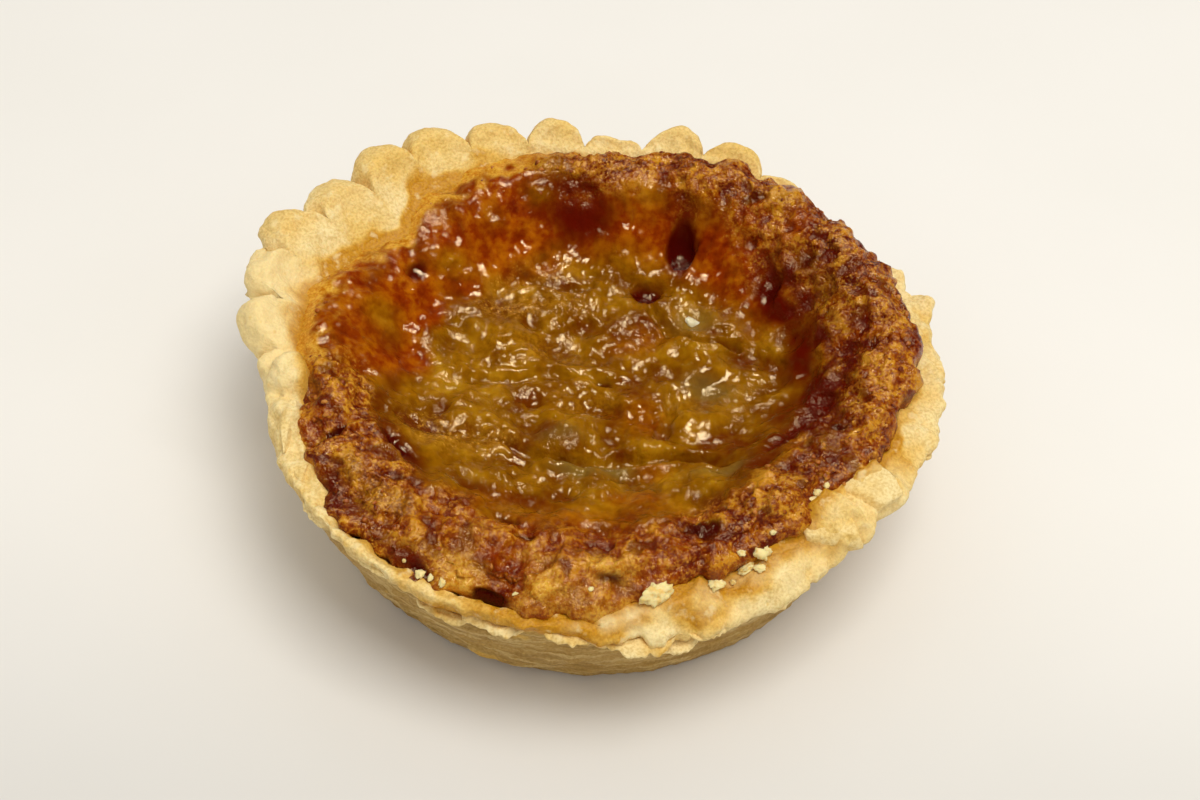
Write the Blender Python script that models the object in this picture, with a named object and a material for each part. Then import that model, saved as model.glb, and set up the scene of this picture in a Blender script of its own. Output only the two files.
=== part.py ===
"""Butter tart: a scalloped pastry shell, broken low at the front and right, round a sunken filling.

Sizes below are millimetres round the centre of the base, azimuths are degrees
counter-clockwise from +X, and +Z is up.  The model is built in metres.
"""
import math

import bmesh
import bpy
import numpy as np
from mathutils import Vector, noise

# overall sizes
SCALE = 0.001
BASE_AT = (0.89, 0.19)
LOBE_COUNT = 30
COLUMNS_PER_LOBE = 6
CORE_SHARE = 3
LOBE_WARP = 6.0
LOBE_DEPTH = 2.9
LOBE_RISE = 2.0
EDGE_DROP = 2.3
EDGE_ROUND_SHARE = 0.42
LOBE_FADE_SHARE = 0.85
NECK_DROP = 3.6
UNDER_DROP = 1.7
UNDER_SHARE = 0.62
BASE_CHAMFER = 0.8
WALL_SHARES = (0.34, 0.68)
WALL_REFERENCE = 18.0
WALL_LEAN = 0.53
WALL_EASE = 0.005
FLOOR_CORNER_REACH = 26.5
FLOOR_CORNER_HEIGHT = 4.6
FLOOR_HEIGHT = 4.2
SIDE_GAP = 0.44
FLOOR_GAP = 0.36
TABLE_EASE = 6

# azimuth, outer reach, top height, scallop strength, inner edge reach, inner edge height
RIM_ROWS = (
    (180, 42.2, 23.6, 1.00, 34.8, 20.5),
    (170, 43.7, 24.5, 1.00, 34.9, 20.5),
    (159, 44.9, 25.2, 1.00, 34.2, 20.5),
    (150, 43.8, 25.4, 1.00, 32.9, 20.0),
    (142, 43.2, 25.5, 1.00, 31.0, 20.2),
    (133, 42.8, 25.9, 1.00, 34.2, 21.4),
    (126, 43.0, 26.1, 1.00, 33.8, 22.0),
    (114, 39.9, 25.8, 1.00, 33.2, 22.4),
    (101, 38.9, 25.8, 1.00, 32.8, 22.7),
    (89, 36.4, 24.7, 0.80, 33.2, 22.8),
    (77, 39.7, 25.5, 1.00, 34.0, 23.0),
    (63, 40.2, 24.8, 0.90, 34.8, 22.8),
    (50, 39.6, 23.4, 0.70, 35.2, 22.0),
    (40, 38.9, 20.4, 0.25, 35.9, 20.8),
    (30, 39.5, 19.4, 0.10, 36.3, 20.2),
    (18, 41.0, 19.7, 0.10, 36.6, 20.4),
    (5, 41.4, 20.1, 0.10, 37.0, 20.9),
    (-10, 40.7, 19.8, 0.05, 36.0, 21.0),
    (-23, 39.6, 20.0, 0.00, 34.8, 21.0),
    (-35, 38.7, 19.5, 0.00, 33.2, 20.6),
    (-48, 38.6, 17.8, 0.00, 33.0, 19.4),
    (-60, 38.2, 16.9, 0.00, 32.9, 18.4),
    (-70, 38.0, 16.5, 0.00, 33.2, 18.0),
    (-83, 38.1, 16.6, 0.00, 34.9, 17.9),
    (-93, 38.9, 18.2, 0.00, 37.1, 18.0),
    (-113, 39.1, 18.6, 0.00, 37.7, 18.2),
    (-137, 39.8, 19.8, 0.00, 38.2, 19.2),
    (-150, 39.6, 20.0, 0.10, 36.3, 20.3),
    (-160, 39.4, 21.0, 0.10, 35.2, 20.8),
    (-168, 39.0, 21.4, 0.10, 34.2, 20.8),
)
# azimuth, base reach, wall reach at the reference height
WALL_ROWS = (
    (-90, 31.4, 38.4),
    (-60, 31.2, 37.3),
    (-30, 31.0, 37.4),
    (0, 31.0, 38.2),
    (30, 30.5, 37.2),
    (60, 30.2, 35.0),
    (90, 30.0, 33.6),
    (120, 30.2, 34.6),
    (150, 30.6, 37.6),
    (180, 31.0, 38.2),
    (-150, 31.6, 38.9),
    (-120, 31.8, 38.8),
)
# azimuth, height at the filling's edge, crest reach, crest height
CREST_ROWS = (
    (180, 21.3, 32.4, 22.2),
    (160, 21.0, 31.8, 21.6),
    (150, 20.5, 30.2, 20.9),
    (142, 20.6, 28.6, 20.6),
    (133, 22.0, 31.2, 22.2),
    (120, 23.2, 30.9, 23.4),
    (102, 23.9, 30.6, 24.4),
    (82, 24.4, 31.4, 25.2),
    (68, 24.9, 32.4, 25.8),
    (50, 25.0, 33.0, 26.1),
    (33, 25.4, 33.8, 26.6),
    (20, 25.1, 34.0, 26.2),
    (6, 24.0, 34.0, 25.1),
    (-10, 23.2, 33.0, 24.4),
    (-23, 22.4, 32.0, 23.6),
    (-34, 21.8, 30.6, 22.9),
    (-56, 20.8, 31.0, 21.9),
    (-70, 20.1, 31.4, 21.3),
    (-83, 19.6, 32.4, 21.0),
    (-93, 19.4, 33.8, 20.7),
    (-113, 19.3, 34.0, 20.4),
    (-137, 20.3, 34.0, 21.1),
    (-150, 21.5, 33.4, 22.5),
    (-165, 21.9, 32.4, 23.0),
)
CRATER_CENTRE = (0.0, 2.5)
CRATER_HALF = (20.5, 15.5)
CRATER_HEIGHT = 14.6
CRATER_BOWL = 0.8
# lumps of the filling's top: share of the height, waves a millimetre, where the noise is read
LUMP_LAYERS = ((0.75, 0.17, 3.1), (0.45, 0.36, 7.7), (0.30, 0.75, 1.3))
LUMP_HEIGHT = 1.1
LUMP_MARGIN = 1.5

# torn flakes of the broken rim: azimuth, half width in degrees, extra reach, extra height
FLAKES = (
    (27, 3.2, 2.8, 1.6),
    (19, 3.2, 3.6, 1.4),
    (-26, 4.0, 0.8, 0.6),
    (-36, 3.6, 0.7, 0.4),
    (-68, 3.0, 1.0, -0.2),
    (-77, 3.0, 0.8, -0.4),
    (-86, 3.0, 0.7, -0.2),
)
# lumps standing on the rim: azimuth, reach, half width round, half width across, height
RIM_LUMPS = (
    (-168, 36.0, 3.2, 2.9, 3.0),
    (179, 38.2, 4.4, 3.4, 0.9),
    (-29, 36.8, 3.4, 2.4, 1.2),
    (-40, 36.0, 3.4, 2.6, 1.2),
    (-159, 37.4, 3.0, 1.6, 0.9),
)
# hollows in the filling: x, y, half width, depth
HOLLOWS = (
    (9.6, 23.4, 2.3, 2.6),
    (-4.0, 24.6, 3.0, 1.6),
    (6.2, 17.4, 1.8, 1.2),
    (13.0, -22.3, 2.2, 1.2),
    (29.0, -6.9, 2.2, 1.0),
    (-27.5, -4.0, 2.0, 1.0),
    (-9.0, -30.5, 2.2, 1.0),
)

# shares from the outer edge of the rim to its inner edge
TOP_STEPS = (0.0, 0.15, 0.42, 0.72, 1.0)
# shares of the filling's reach, fine columns first, then the core's
FINE_STEPS = (0.972, 0.935, 0.89, 0.845, 0.80, 0.75, 0.70, 0.645, 0.59)
CORE_STEPS = (0.52, 0.45, 0.38, 0.31, 0.24, 0.17, 0.09)

PASTRY_COLOUR = (0.82, 0.56, 0.22, 1.0)
FILLING_COLOUR = (0.27, 0.085, 0.012, 1.0)


def around(rows, column, azimuth):
    """One column of a table read at azimuths in degrees, eased between its rows."""
    at = [row[0] for row in rows]
    values = [row[column] for row in rows]
    grid = np.arange(720) * 0.5
    straight = np.interp(grid, at, values, period=360)
    window = np.hanning(2 * TABLE_EASE + 3)[1:-1]
    window = window / window.sum()
    wrapped = np.concatenate((straight[-TABLE_EASE:], straight, straight[:TABLE_EASE]))
    eased = np.convolve(wrapped, window, "valid")
    return np.interp(azimuth, grid, eased, period=360)


def smooth_step(value):
    value = np.clip(value, 0.0, 1.0)
    return value * value * (3.0 - 2.0 * value)


def turned(azimuth, centre):
    """Signed difference of azimuths in degrees."""
    return (azimuth - centre + 180.0) % 360.0 - 180.0


def columns(count):
    """Azimuths of evenly stepped columns after the warp, with how far each stands up its lobe."""
    step = np.arange(count) * 360.0 / count
    azimuth = step + LOBE_WARP * np.sin(np.radians(step))
    phase = (step * LOBE_COUNT / 360.0 + 0.5) % 1.0
    arch = np.sqrt(np.clip(1.0 - (2.0 * phase - 1.0) ** 2, 0.0, 1.0))
    return azimuth, arch


def ring(azimuth, reach, height):
    angle = np.radians(azimuth)
    return np.stack((reach * np.cos(angle), reach * np.sin(angle), reach * 0.0 + height), axis=1)


def wall_reach(azimuth, height):
    """Reach of the outside wall, which leans out and eases upright towards the top."""
    base = around(WALL_ROWS, 1, azimuth)
    top = around(WALL_ROWS, 2, azimuth)
    lean = WALL_LEAN * height - WALL_EASE * height ** 2
    full = WALL_LEAN * WALL_REFERENCE - WALL_EASE * WALL_REFERENCE ** 2
    return base + (top - base) * lean / full


def rim_lump_rise(azimuth, reach):
    rise = np.zeros_like(reach)
    for lump_azimuth, lump_reach, half_round, half_across, height in RIM_LUMPS:
        along = np.radians(turned(azimuth, lump_azimuth)) * reach / half_round
        across = (reach - lump_reach) / half_across
        rise += height * np.sqrt(np.clip(1.0 - along ** 2 - across ** 2, 0.0, 1.0))
    return rise


def rim_rings(azimuth, arch):
    """Rings over the top of the rim, from its outer edge to its inner edge."""
    reach = around(RIM_ROWS, 1, azimuth)
    top = around(RIM_ROWS, 2, azimuth)
    strength = around(RIM_ROWS, 3, azimuth)
    inner = around(RIM_ROWS, 4, azimuth) + SIDE_GAP
    inner_height = around(RIM_ROWS, 5, azimuth)
    for flake_azimuth, half_width, extra_reach, extra_height in FLAKES:
        share = smooth_step(1.0 - np.abs(turned(azimuth, flake_azimuth)) / half_width)
        reach = reach + extra_reach * share
        top = top + extra_height * share
    width = reach - inner
    groove = (1.0 - arch) * strength
    depth = np.minimum(LOBE_DEPTH, 0.55 * width)
    drop = EDGE_DROP * np.clip(width / 5.0, 0.3, 1.0)
    rings = []
    for step in TOP_STEPS:
        fade = 1.0 - smooth_step(step / LOBE_FADE_SHARE)
        ring_reach = inner + width * (1.0 - step) - depth * groove * fade
        slope = strength * smooth_step((step - 0.3) / 0.7) + (1.0 - strength) * step
        edge = max(0.0, 1.0 - step / EDGE_ROUND_SHARE)
        fall = drop * (1.0 - math.sqrt(1.0 - edge * edge))
        height = top + (inner_height - top) * slope - fall - LOBE_RISE * groove * fade
        if 0.0 < step < 1.0:
            height = height + rim_lump_rise(azimuth, ring_reach)
        rings.append(ring(azimuth, ring_reach, height))
    return rings


def shell_rings(azimuth, arch):
    """Rings of the shell from the edge of its base up the wall and over the rim."""
    rim = rim_rings(azimuth, arch)
    edge_reach = np.hypot(rim[0][:, 0], rim[0][:, 1])
    edge_height = rim[0][:, 2]
    under_height = edge_height - UNDER_DROP
    neck_height = edge_height - NECK_DROP
    neck_reach = wall_reach(azimuth, neck_height)
    under_reach = neck_reach + (edge_reach - neck_reach) * UNDER_SHARE
    base = around(WALL_ROWS, 1, azimuth)
    rings = [ring(azimuth, base - 1.0, 0.0), ring(azimuth, base + 0.1, BASE_CHAMFER)]
    for share in WALL_SHARES:
        height = neck_height * share
        rings.append(ring(azimuth, wall_reach(azimuth, height), height))
    rings.append(ring(azimuth, neck_reach, neck_height))
    rings.append(ring(azimuth, under_reach, under_height))
    return rings + rim


def crater_reach(azimuth):
    """Reach of the sunken middle's edge from the base's centre."""
    angle = np.radians(azimuth)
    ray_x = np.cos(angle) / CRATER_HALF[0]
    ray_y = np.sin(angle) / CRATER_HALF[1]
    start_x = -CRATER_CENTRE[0] / CRATER_HALF[0]
    start_y = -CRATER_CENTRE[1] / CRATER_HALF[1]
    a = ray_x ** 2 + ray_y ** 2
    b = start_x * ray_x + start_y * ray_y
    c = start_x ** 2 + start_y ** 2 - 1.0
    return (-b + np.sqrt(b * b - a * c)) / a


def filling_height(azimuth, reach):
    """Height of the filling's top: crater, inner slope, crest, then down to its edge."""
    edge = around(RIM_ROWS, 4, azimuth)
    edge_height = around(CREST_ROWS, 1, azimuth)
    crest = around(CREST_ROWS, 2, azimuth)
    crest_height = around(CREST_ROWS, 3, azimuth)
    floor_edge = crater_reach(azimuth)
    floor = CRATER_HEIGHT + CRATER_BOWL * np.clip(reach / floor_edge, 0.0, 1.0) ** 2
    climb = smooth_step((reach - floor_edge) / (crest - floor_edge))
    fall = smooth_step((reach - crest) / (edge - crest))
    height = floor + (crest_height - CRATER_HEIGHT - CRATER_BOWL) * climb
    height = height + (edge_height - crest_height) * fall
    x = reach * np.cos(np.radians(azimuth))
    y = reach * np.sin(np.radians(azimuth))
    for hollow_x, hollow_y, half_width, depth in HOLLOWS:
        away = ((x - hollow_x) ** 2 + (y - hollow_y) ** 2) / half_width ** 2
        height = height - depth * np.exp(-away)
    lumps = np.zeros_like(reach)
    for share, pitch, level in LUMP_LAYERS:
        waves = [noise.noise(Vector((px * pitch, py * pitch, level))) for px, py in zip(x, y)]
        lumps += share * np.array(waves)
    return height + lumps * LUMP_HEIGHT * np.clip((edge - reach) / LUMP_MARGIN, 0.0, 1.0)


def filling_rings(azimuth):
    """Fine rings of the filling from its lowest outside edge to the core."""
    edge = around(RIM_ROWS, 4, azimuth)
    low = around(RIM_ROWS, 5, azimuth) - 0.4
    shoulder = around(CREST_ROWS, 1, azimuth) - 0.2
    rings = [ring(azimuth, edge, low), ring(azimuth, edge - 0.1, low + (shoulder - low) * 0.7)]
    for step in FINE_STEPS:
        rings.append(ring(azimuth, edge * step, filling_height(azimuth, edge * step)))
    return rings


def place(builder, points):
    shift = np.array((BASE_AT[0], BASE_AT[1], 0.0))
    return [builder.verts.new(tuple((point + shift) * SCALE)) for point in points]


def join_rings(builder, lower, upper):
    """Quads split into triangles between two rings of the same count, facing out going up."""
    count = len(lower)
    for index in range(count):
        after = (index + 1) % count
        builder.faces.new((lower[index], lower[after], upper[after]))
        builder.faces.new((lower[index], upper[after], upper[index]))


def join_to_core(builder, fine, core, upward):
    """Triangles from a fine ring in to a core ring that has a third of its vertices."""
    share = CORE_SHARE
    for index in range(len(core)):
        first = [fine[(index * share + step) % len(fine)] for step in range(share + 1)]
        near, far = core[index], core[(index + 1) % len(core)]
        corners = [
            (near, first[0], first[1]),
            (near, first[1], far),
            (far, first[1], first[2]),
            (far, first[2], first[3]),
        ]
        for a, b, c in corners:
            builder.faces.new((a, b, c) if upward else (a, c, b))


def close_ring(builder, rim, centre, upward):
    for index in range(len(rim)):
        a, b = rim[index], rim[(index + 1) % len(rim)]
        builder.faces.new((centre, a, b) if upward else (centre, b, a))


def finished(builder, name, colour, roughness):
    mesh = bpy.data.meshes.new(name)
    builder.normal_update()
    builder.to_mesh(mesh)
    builder.free()
    for polygon in mesh.polygons:
        polygon.use_smooth = True
    material = bpy.data.materials.new(name)
    material.use_nodes = True
    shader = material.node_tree.nodes["Principled BSDF"]
    shader.inputs["Base Color"].default_value = colour
    shader.inputs["Roughness"].default_value = roughness
    shader.inputs["Metallic"].default_value = 0.0
    material.diffuse_color = colour
    mesh.materials.append(material)
    obj = bpy.data.objects.new(name, mesh)
    bpy.context.scene.collection.objects.link(obj)
    return obj


def build_shell():
    azimuth, arch = columns(LOBE_COUNT * COLUMNS_PER_LOBE)
    core_azimuth = azimuth[::CORE_SHARE]
    builder = bmesh.new()
    placed = [place(builder, points) for points in shell_rings(azimuth, arch)]
    for lower, upper in zip(placed, placed[1:]):
        join_rings(builder, lower, upper)
    corner_reach = np.full(len(core_azimuth), FLOOR_CORNER_REACH + SIDE_GAP)
    corner = place(builder, ring(core_azimuth, corner_reach, FLOOR_CORNER_HEIGHT - FLOOR_GAP))
    join_to_core(builder, placed[-1], corner, True)
    under, over = place(builder, np.array(((0.0, 0.0, 0.0), (0.0, 0.0, FLOOR_HEIGHT - FLOOR_GAP))))
    close_ring(builder, placed[0], under, False)
    close_ring(builder, corner, over, True)
    return finished(builder, "pastry_shell", PASTRY_COLOUR, 0.75)


def build_filling():
    azimuth = columns(LOBE_COUNT * COLUMNS_PER_LOBE)[0]
    core_azimuth = azimuth[::CORE_SHARE]
    core_edge = around(RIM_ROWS, 4, core_azimuth)
    builder = bmesh.new()
    placed = [place(builder, points) for points in filling_rings(azimuth)]
    for lower, upper in zip(placed, placed[1:]):
        join_rings(builder, lower, upper)
    core = []
    for step in CORE_STEPS:
        reach = core_edge * step
        core.append(place(builder, ring(core_azimuth, reach, filling_height(core_azimuth, reach))))
    join_to_core(builder, placed[-1], core[0], True)
    for lower, upper in zip(core, core[1:]):
        join_rings(builder, lower, upper)
    centre_height = filling_height(np.zeros(1), np.zeros(1))[0]
    over, under = place(builder, np.array(((0.0, 0.0, centre_height), (0.0, 0.0, FLOOR_HEIGHT))))
    close_ring(builder, core[-1], over, True)
    corner_reach = np.full(len(core_azimuth), FLOOR_CORNER_REACH)
    corner = place(builder, ring(core_azimuth, corner_reach, FLOOR_CORNER_HEIGHT))
    join_to_core(builder, placed[0], corner, False)
    close_ring(builder, corner, under, False)
    return finished(builder, "filling", FILLING_COLOUR, 0.35)


def main():
    for obj in list(bpy.data.objects):
        bpy.data.objects.remove(obj, do_unlink=True)
    build_shell()
    build_filling()


main()
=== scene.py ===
"""Butter tart for a studio picture: fine pastry, sugared crust, wet middle, flakes and crumbs.

Sizes are millimetres round the centre of the tart's base, azimuths are degrees
counter-clockwise from +X, and every mesh is stored in metres.
"""

import math
import random

import bmesh
import bpy
import numpy as np
from bpy.props import FloatProperty, FloatVectorProperty, IntProperty, PointerProperty
from bpy.types import Operator, Panel, PropertyGroup
from mathutils import Matrix, Vector, noise
from mathutils.bvhtree import BVHTree


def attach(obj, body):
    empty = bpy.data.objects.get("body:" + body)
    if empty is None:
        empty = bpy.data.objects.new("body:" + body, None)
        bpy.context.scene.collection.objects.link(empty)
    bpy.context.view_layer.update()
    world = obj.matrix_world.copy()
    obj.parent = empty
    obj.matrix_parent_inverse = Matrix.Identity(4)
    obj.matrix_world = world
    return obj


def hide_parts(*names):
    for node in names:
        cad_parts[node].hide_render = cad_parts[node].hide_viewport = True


bl_info = {
    "name": "Butter tart",
    "version": (1, 0, 0),
    "blender": (4, 5, 0),
    "location": "3D View > Sidebar > Tart",
    "description": "Builds a butter tart with a broken scalloped shell and a sunken filling",
    "category": "Add Mesh",
}

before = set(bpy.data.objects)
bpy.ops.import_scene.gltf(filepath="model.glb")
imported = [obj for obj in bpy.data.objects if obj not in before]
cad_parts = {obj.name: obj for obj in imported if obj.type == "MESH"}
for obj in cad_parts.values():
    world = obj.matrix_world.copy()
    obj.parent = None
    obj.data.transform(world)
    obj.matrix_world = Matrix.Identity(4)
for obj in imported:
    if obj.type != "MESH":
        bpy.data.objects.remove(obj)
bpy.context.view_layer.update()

MM = 0.001
# centre of the tart's base
BASE_AT = (0.89, 0.19)

# scallops: how many, how unevenly spaced, how deep their grooves are and how they fade inwards
LOBE_COUNT = 30
LOBE_WARP = 6.0
LOBE_DEPTH = 2.9
LOBE_RISE = 2.0
LOBE_FADE_SHARE = 0.85
# the crease between two scallops, and the dip behind each one
CREASE_IN = 0.5
CREASE_DOWN = 0.8
CREASE_WIDTH = 0.42
LOBE_DIP = 0.55
LOBE_DIP_SHARE = 0.52
LOBE_DIP_WIDTH = 0.15
# the rim's outer edge
EDGE_DROP = 2.3
EDGE_ROUND_SHARE = 0.42
EDGE_BEND = 1.6
# the rounded foot: how far in its ring on the table and its corner start, how far out and up it turns
BASE_RING_IN = 6.0
BASE_CORNER_IN = 1.0
BASE_CORNER = 1.1
BASE_ROUND = 0.8
# the wall up to its neck under the rim
WALL_REFERENCE = 18.0
WALL_LEAN = 0.53
WALL_EASE = 0.005
NECK_DROP = 3.6
NECK_BEND = 1.4
# the hidden inside of the shell: a step in and down from the rim, then the floor's corner
INSIDE_STEP = (1.6, 2.6)
FLOOR_REACH = 26.0
FLOOR_HEIGHT = 5.0
# rings of the shell's mesh, and how closely those of the rim crowd at its outer edge
FOOT_RINGS = 5
WALL_RINGS = 28
NECK_RINGS = 12
RIM_RINGS = 34
RIM_CROWDING = 1.15
# the relief fades below this height, and the crumbly stretches start above theirs
FOOT_FADE = 1.5
CRUMBLY_FROM = 17.0
CRUMBLY_SOFT = 3.0
# next to the filling the soaked left stretch is smoother over this width
SMOOTH_WIDTH = 2.4
# half degrees to each side that the tables are eased over
TABLE_EASE = 6

# azimuth, outer reach, top height, scallop strength, inner edge reach, inner edge height
RIM_ROWS = (
    (180, 42.2, 23.6, 1.00, 34.8, 20.5),
    (170, 43.7, 24.5, 1.00, 34.9, 20.5),
    (159, 44.9, 25.2, 1.00, 34.2, 20.5),
    (150, 43.8, 25.4, 1.00, 32.9, 20.0),
    (142, 43.2, 25.5, 1.00, 31.0, 20.2),
    (133, 42.8, 25.9, 1.00, 34.2, 21.4),
    (126, 43.0, 26.1, 1.00, 33.8, 22.0),
    (114, 39.9, 25.8, 1.00, 33.2, 22.4),
    (101, 38.9, 25.8, 1.00, 32.8, 22.7),
    (89, 36.4, 24.7, 0.80, 33.2, 22.8),
    (77, 39.7, 25.5, 1.00, 34.0, 23.0),
    (63, 40.2, 24.8, 0.90, 34.8, 22.8),
    (50, 39.6, 23.4, 0.70, 35.2, 22.0),
    (40, 38.9, 20.4, 0.25, 35.9, 20.8),
    (30, 39.5, 19.4, 0.10, 36.3, 20.2),
    (18, 41.0, 19.7, 0.10, 36.6, 20.4),
    (5, 41.4, 20.1, 0.10, 37.0, 20.9),
    (-10, 40.7, 19.8, 0.05, 36.0, 21.0),
    (-23, 39.6, 20.0, 0.00, 34.8, 21.0),
    (-35, 38.7, 19.5, 0.00, 33.2, 20.6),
    (-48, 38.6, 17.8, 0.00, 33.0, 19.4),
    (-60, 38.2, 16.9, 0.00, 32.9, 18.4),
    (-70, 38.0, 16.5, 0.00, 33.2, 18.0),
    (-83, 38.1, 16.6, 0.00, 34.9, 17.9),
    (-93, 38.9, 18.2, 0.00, 37.1, 18.0),
    (-113, 39.1, 18.6, 0.00, 37.7, 18.2),
    (-137, 39.8, 19.8, 0.00, 38.2, 19.2),
    (-150, 39.6, 20.0, 0.10, 36.3, 20.3),
    (-160, 39.4, 21.0, 0.10, 35.2, 20.8),
    (-168, 39.0, 21.4, 0.10, 34.2, 20.8),
)
# azimuth, base reach, wall reach at the reference height
WALL_ROWS = (
    (-90, 31.4, 38.4),
    (-60, 31.2, 37.3),
    (-30, 31.0, 37.4),
    (0, 31.0, 38.2),
    (30, 30.5, 37.2),
    (60, 30.2, 35.0),
    (90, 30.0, 33.6),
    (120, 30.2, 34.6),
    (150, 30.6, 37.6),
    (180, 31.0, 38.2),
    (-150, 31.6, 38.9),
    (-120, 31.8, 38.8),
)
# azimuth, height at the filling's edge, crest reach, crest height
CREST_ROWS = (
    (180, 21.3, 32.4, 22.2),
    (160, 21.0, 31.8, 21.6),
    (150, 20.5, 30.2, 20.9),
    (142, 20.6, 28.6, 20.6),
    (133, 22.0, 31.2, 22.2),
    (120, 23.2, 30.9, 23.4),
    (102, 23.9, 30.6, 24.4),
    (82, 24.4, 31.4, 25.2),
    (68, 24.9, 32.4, 25.8),
    (50, 25.0, 33.0, 26.1),
    (33, 25.4, 33.8, 26.6),
    (20, 25.1, 34.0, 26.2),
    (6, 24.0, 34.0, 25.1),
    (-10, 23.2, 33.0, 24.4),
    (-23, 22.4, 32.0, 23.6),
    (-34, 21.8, 30.6, 22.9),
    (-56, 20.8, 31.0, 21.9),
    (-70, 20.1, 31.4, 21.3),
    (-83, 19.6, 32.4, 21.0),
    (-93, 19.4, 33.8, 20.7),
    (-113, 19.3, 34.0, 20.4),
    (-137, 20.3, 34.0, 21.1),
    (-150, 21.5, 33.4, 22.5),
    (-165, 21.9, 32.4, 23.0),
)
CRATER_CENTRE = (0.0, 2.5)
CRATER_HALF = (20.5, 15.5)
CRATER_HEIGHT = 14.6
CRATER_BOWL = 0.8
# what stands above this height on the crest is pressed down by this share
CREST_EASE = 26.2
CREST_PRESS = 0.6
# the slopes between the middle and the crust: where they start, and bands as reach and half width
SLOPE_FROM = 19.0
BACK_BAND = (25.0, 6.4)
# painted shade: the right slope's band is darkened
RIGHT_BAND = (26.4, 6.4)
FRONT_GOLD_FROM = 29.0
# how far the filling lies lower at its clear left edge
EDGE_SUNK = 0.60

# stretches of the tart's round that differ: middle azimuth, half width and softness in degrees
CRUMBLY_LEFT = (164.0, 10.0, 5.0)
CRUMBLY_RIGHT = (18.0, 22.0, 8.0)
SOAKED_LEFT = (152.0, 30.0, 14.0)
BROKEN_FRONT = (-62.0, 42.0, 14.0)
RAGGED_FRONT = (-78.0, 26.0, 10.0)
FRONT_LIP = (-78.0, 22.0, 14.0)
PALE_RIM = (-179.0, 12.0, 10.0)
# painted light: the side wall is lightened on the left, where it lies in shade
PAINTED_LIGHT_WALL = (-170.0, 24.0, 12.0)
PALE_LEDGE = (-83.0, 5.0, 6.0)
PALE_CORNER = (-46.0, 20.0, 9.0)
CLEAR_LEFT = (146.0, 34.0, 16.0)
SMOOTH_LEFT = (150.0, 34.0, 16.0)
BACK_SLOPE = (84.0, 48.0, 18.0)
# painted shade: the right slope is darkened in this stretch
RIGHT_SLOPE = (2.0, 32.0, 14.0)
WIDE_CRUST = (12.0, 30.0, 20.0)
FRONT_SLOPE = (-94.0, 22.0, 16.0)
FRONT_GOLD = (-98.0, 13.0, 8.0)
FRONT_LEFT = (-122.0, 24.0, 10.0)

# torn flakes of the broken rim: azimuth, half width in degrees, extra reach, extra height
FLAKES = (
    (27, 5.0, 1.7, 1.5),
    (19, 5.0, 2.3, 1.3),
    (-26, 4.0, 0.8, 0.6),
    (-36, 3.6, 0.7, 0.4),
    (-68, 3.0, 1.0, -0.2),
    (-77, 3.0, 0.8, -0.4),
    (-86, 3.0, 0.7, -0.2),
)
# lumps standing on the rim: azimuth, reach, half width round, half width across, height
RIM_LUMPS = (
    (-168, 36.0, 3.2, 2.9, 3.0),
    (179, 38.2, 4.4, 3.4, 0.9),
    (-159, 37.4, 3.0, 1.6, 0.9),
    (-70, 35.6, 5.0, 2.2, 0.9),
    (-83, 36.2, 4.2, 1.6, 0.7),
    (-56, 36.2, 4.6, 2.2, 0.6),
)
# broken chunks with one steep side: azimuth and reach of the ridge's middle, half length,
# turn of the ridge from outwards in degrees, height, gentle width, steep width
RIDGES = (
    (-37, 35.2, 4.2, 4.0, 2.0, 3.6, 0.5),
    (-25, 36.6, 3.0, -6.0, 1.7, 3.4, 0.5),
    (-158, 36.2, 2.6, 30.0, 0.9, 1.2, 0.5),
)
# the filling's edge curling under its crust: how far out and how far down
EDGE_STEPS = ((0.45, 0.30), (0.85, 0.95), (0.9, 1.8))
# the filling's hidden side: how far out and how far below the rim, then the reach and height of its foot
SIDE_STEPS = ((0.4, 1.2), (-1.5, 4.0))
FOOT_REACH = 25.0
FOOT_HEIGHT = 5.6
# hollows in the filling: x, y, half width, depth
HOLLOWS = (
    (9.6, 23.4, 2.3, 2.6),
    (-4.0, 24.6, 3.0, 1.6),
    (6.2, 17.4, 1.8, 1.2),
    (13.0, -22.3, 2.2, 1.2),
    (29.0, -6.9, 2.2, 1.0),
    (-27.5, -4.0, 2.0, 1.0),
    (-9.0, -30.5, 2.2, 1.0),
)
# soft bubbles and lumps of the wet middle: x, y, radius, height
BUBBLES = (
    (2.6, 20.6, 4.0, 1.5),
    (11.8, 6.6, 5.0, 1.8),
    (5.2, -1.2, 3.4, 1.0),
    (-2.6, -7.8, 4.8, 1.7),
    (12.4, -4.6, 4.6, 1.0),
    (-12.0, 6.6, 5.0, 0.9),
    (-14.6, -6.4, 4.4, 0.9),
    (1.4, -16.6, 3.4, 0.8),
    (-6.0, 12.6, 4.2, 0.8),
    (8.2, -10.2, 3.0, 0.7),
    (16.0, 12.0, 3.6, 0.7),
    (-18.4, 11.0, 3.4, 0.6),
)
# folds pressed into the wet middle: the points each runs through, width, depth
FOLDS = (
    (((6.4, 13.6), (9.2, 9.8), (12.4, 8.2), (16.6, 8.4)), 0.7, 0.9),
    (((-3.6, -12.6), (1.0, -12.4), (6.0, -11.4), (12.4, -10.6), (18.0, -12.0)), 0.8, 1.0),
    (((-11.0, -9.6), (-6.6, -11.6), (-3.6, -12.6)), 0.7, 0.7),
    (((1.0, 1.8), (-4.4, 2.6), (-9.6, 1.0), (-15.0, 0.6)), 0.7, 0.5),
    (((8.8, 0.6), (9.2, -3.6), (7.8, -7.6)), 0.6, 0.6),
    (((-9.6, 17.6), (-5.2, 16.2), (-1.6, 17.2)), 0.7, 0.6),
)
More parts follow.
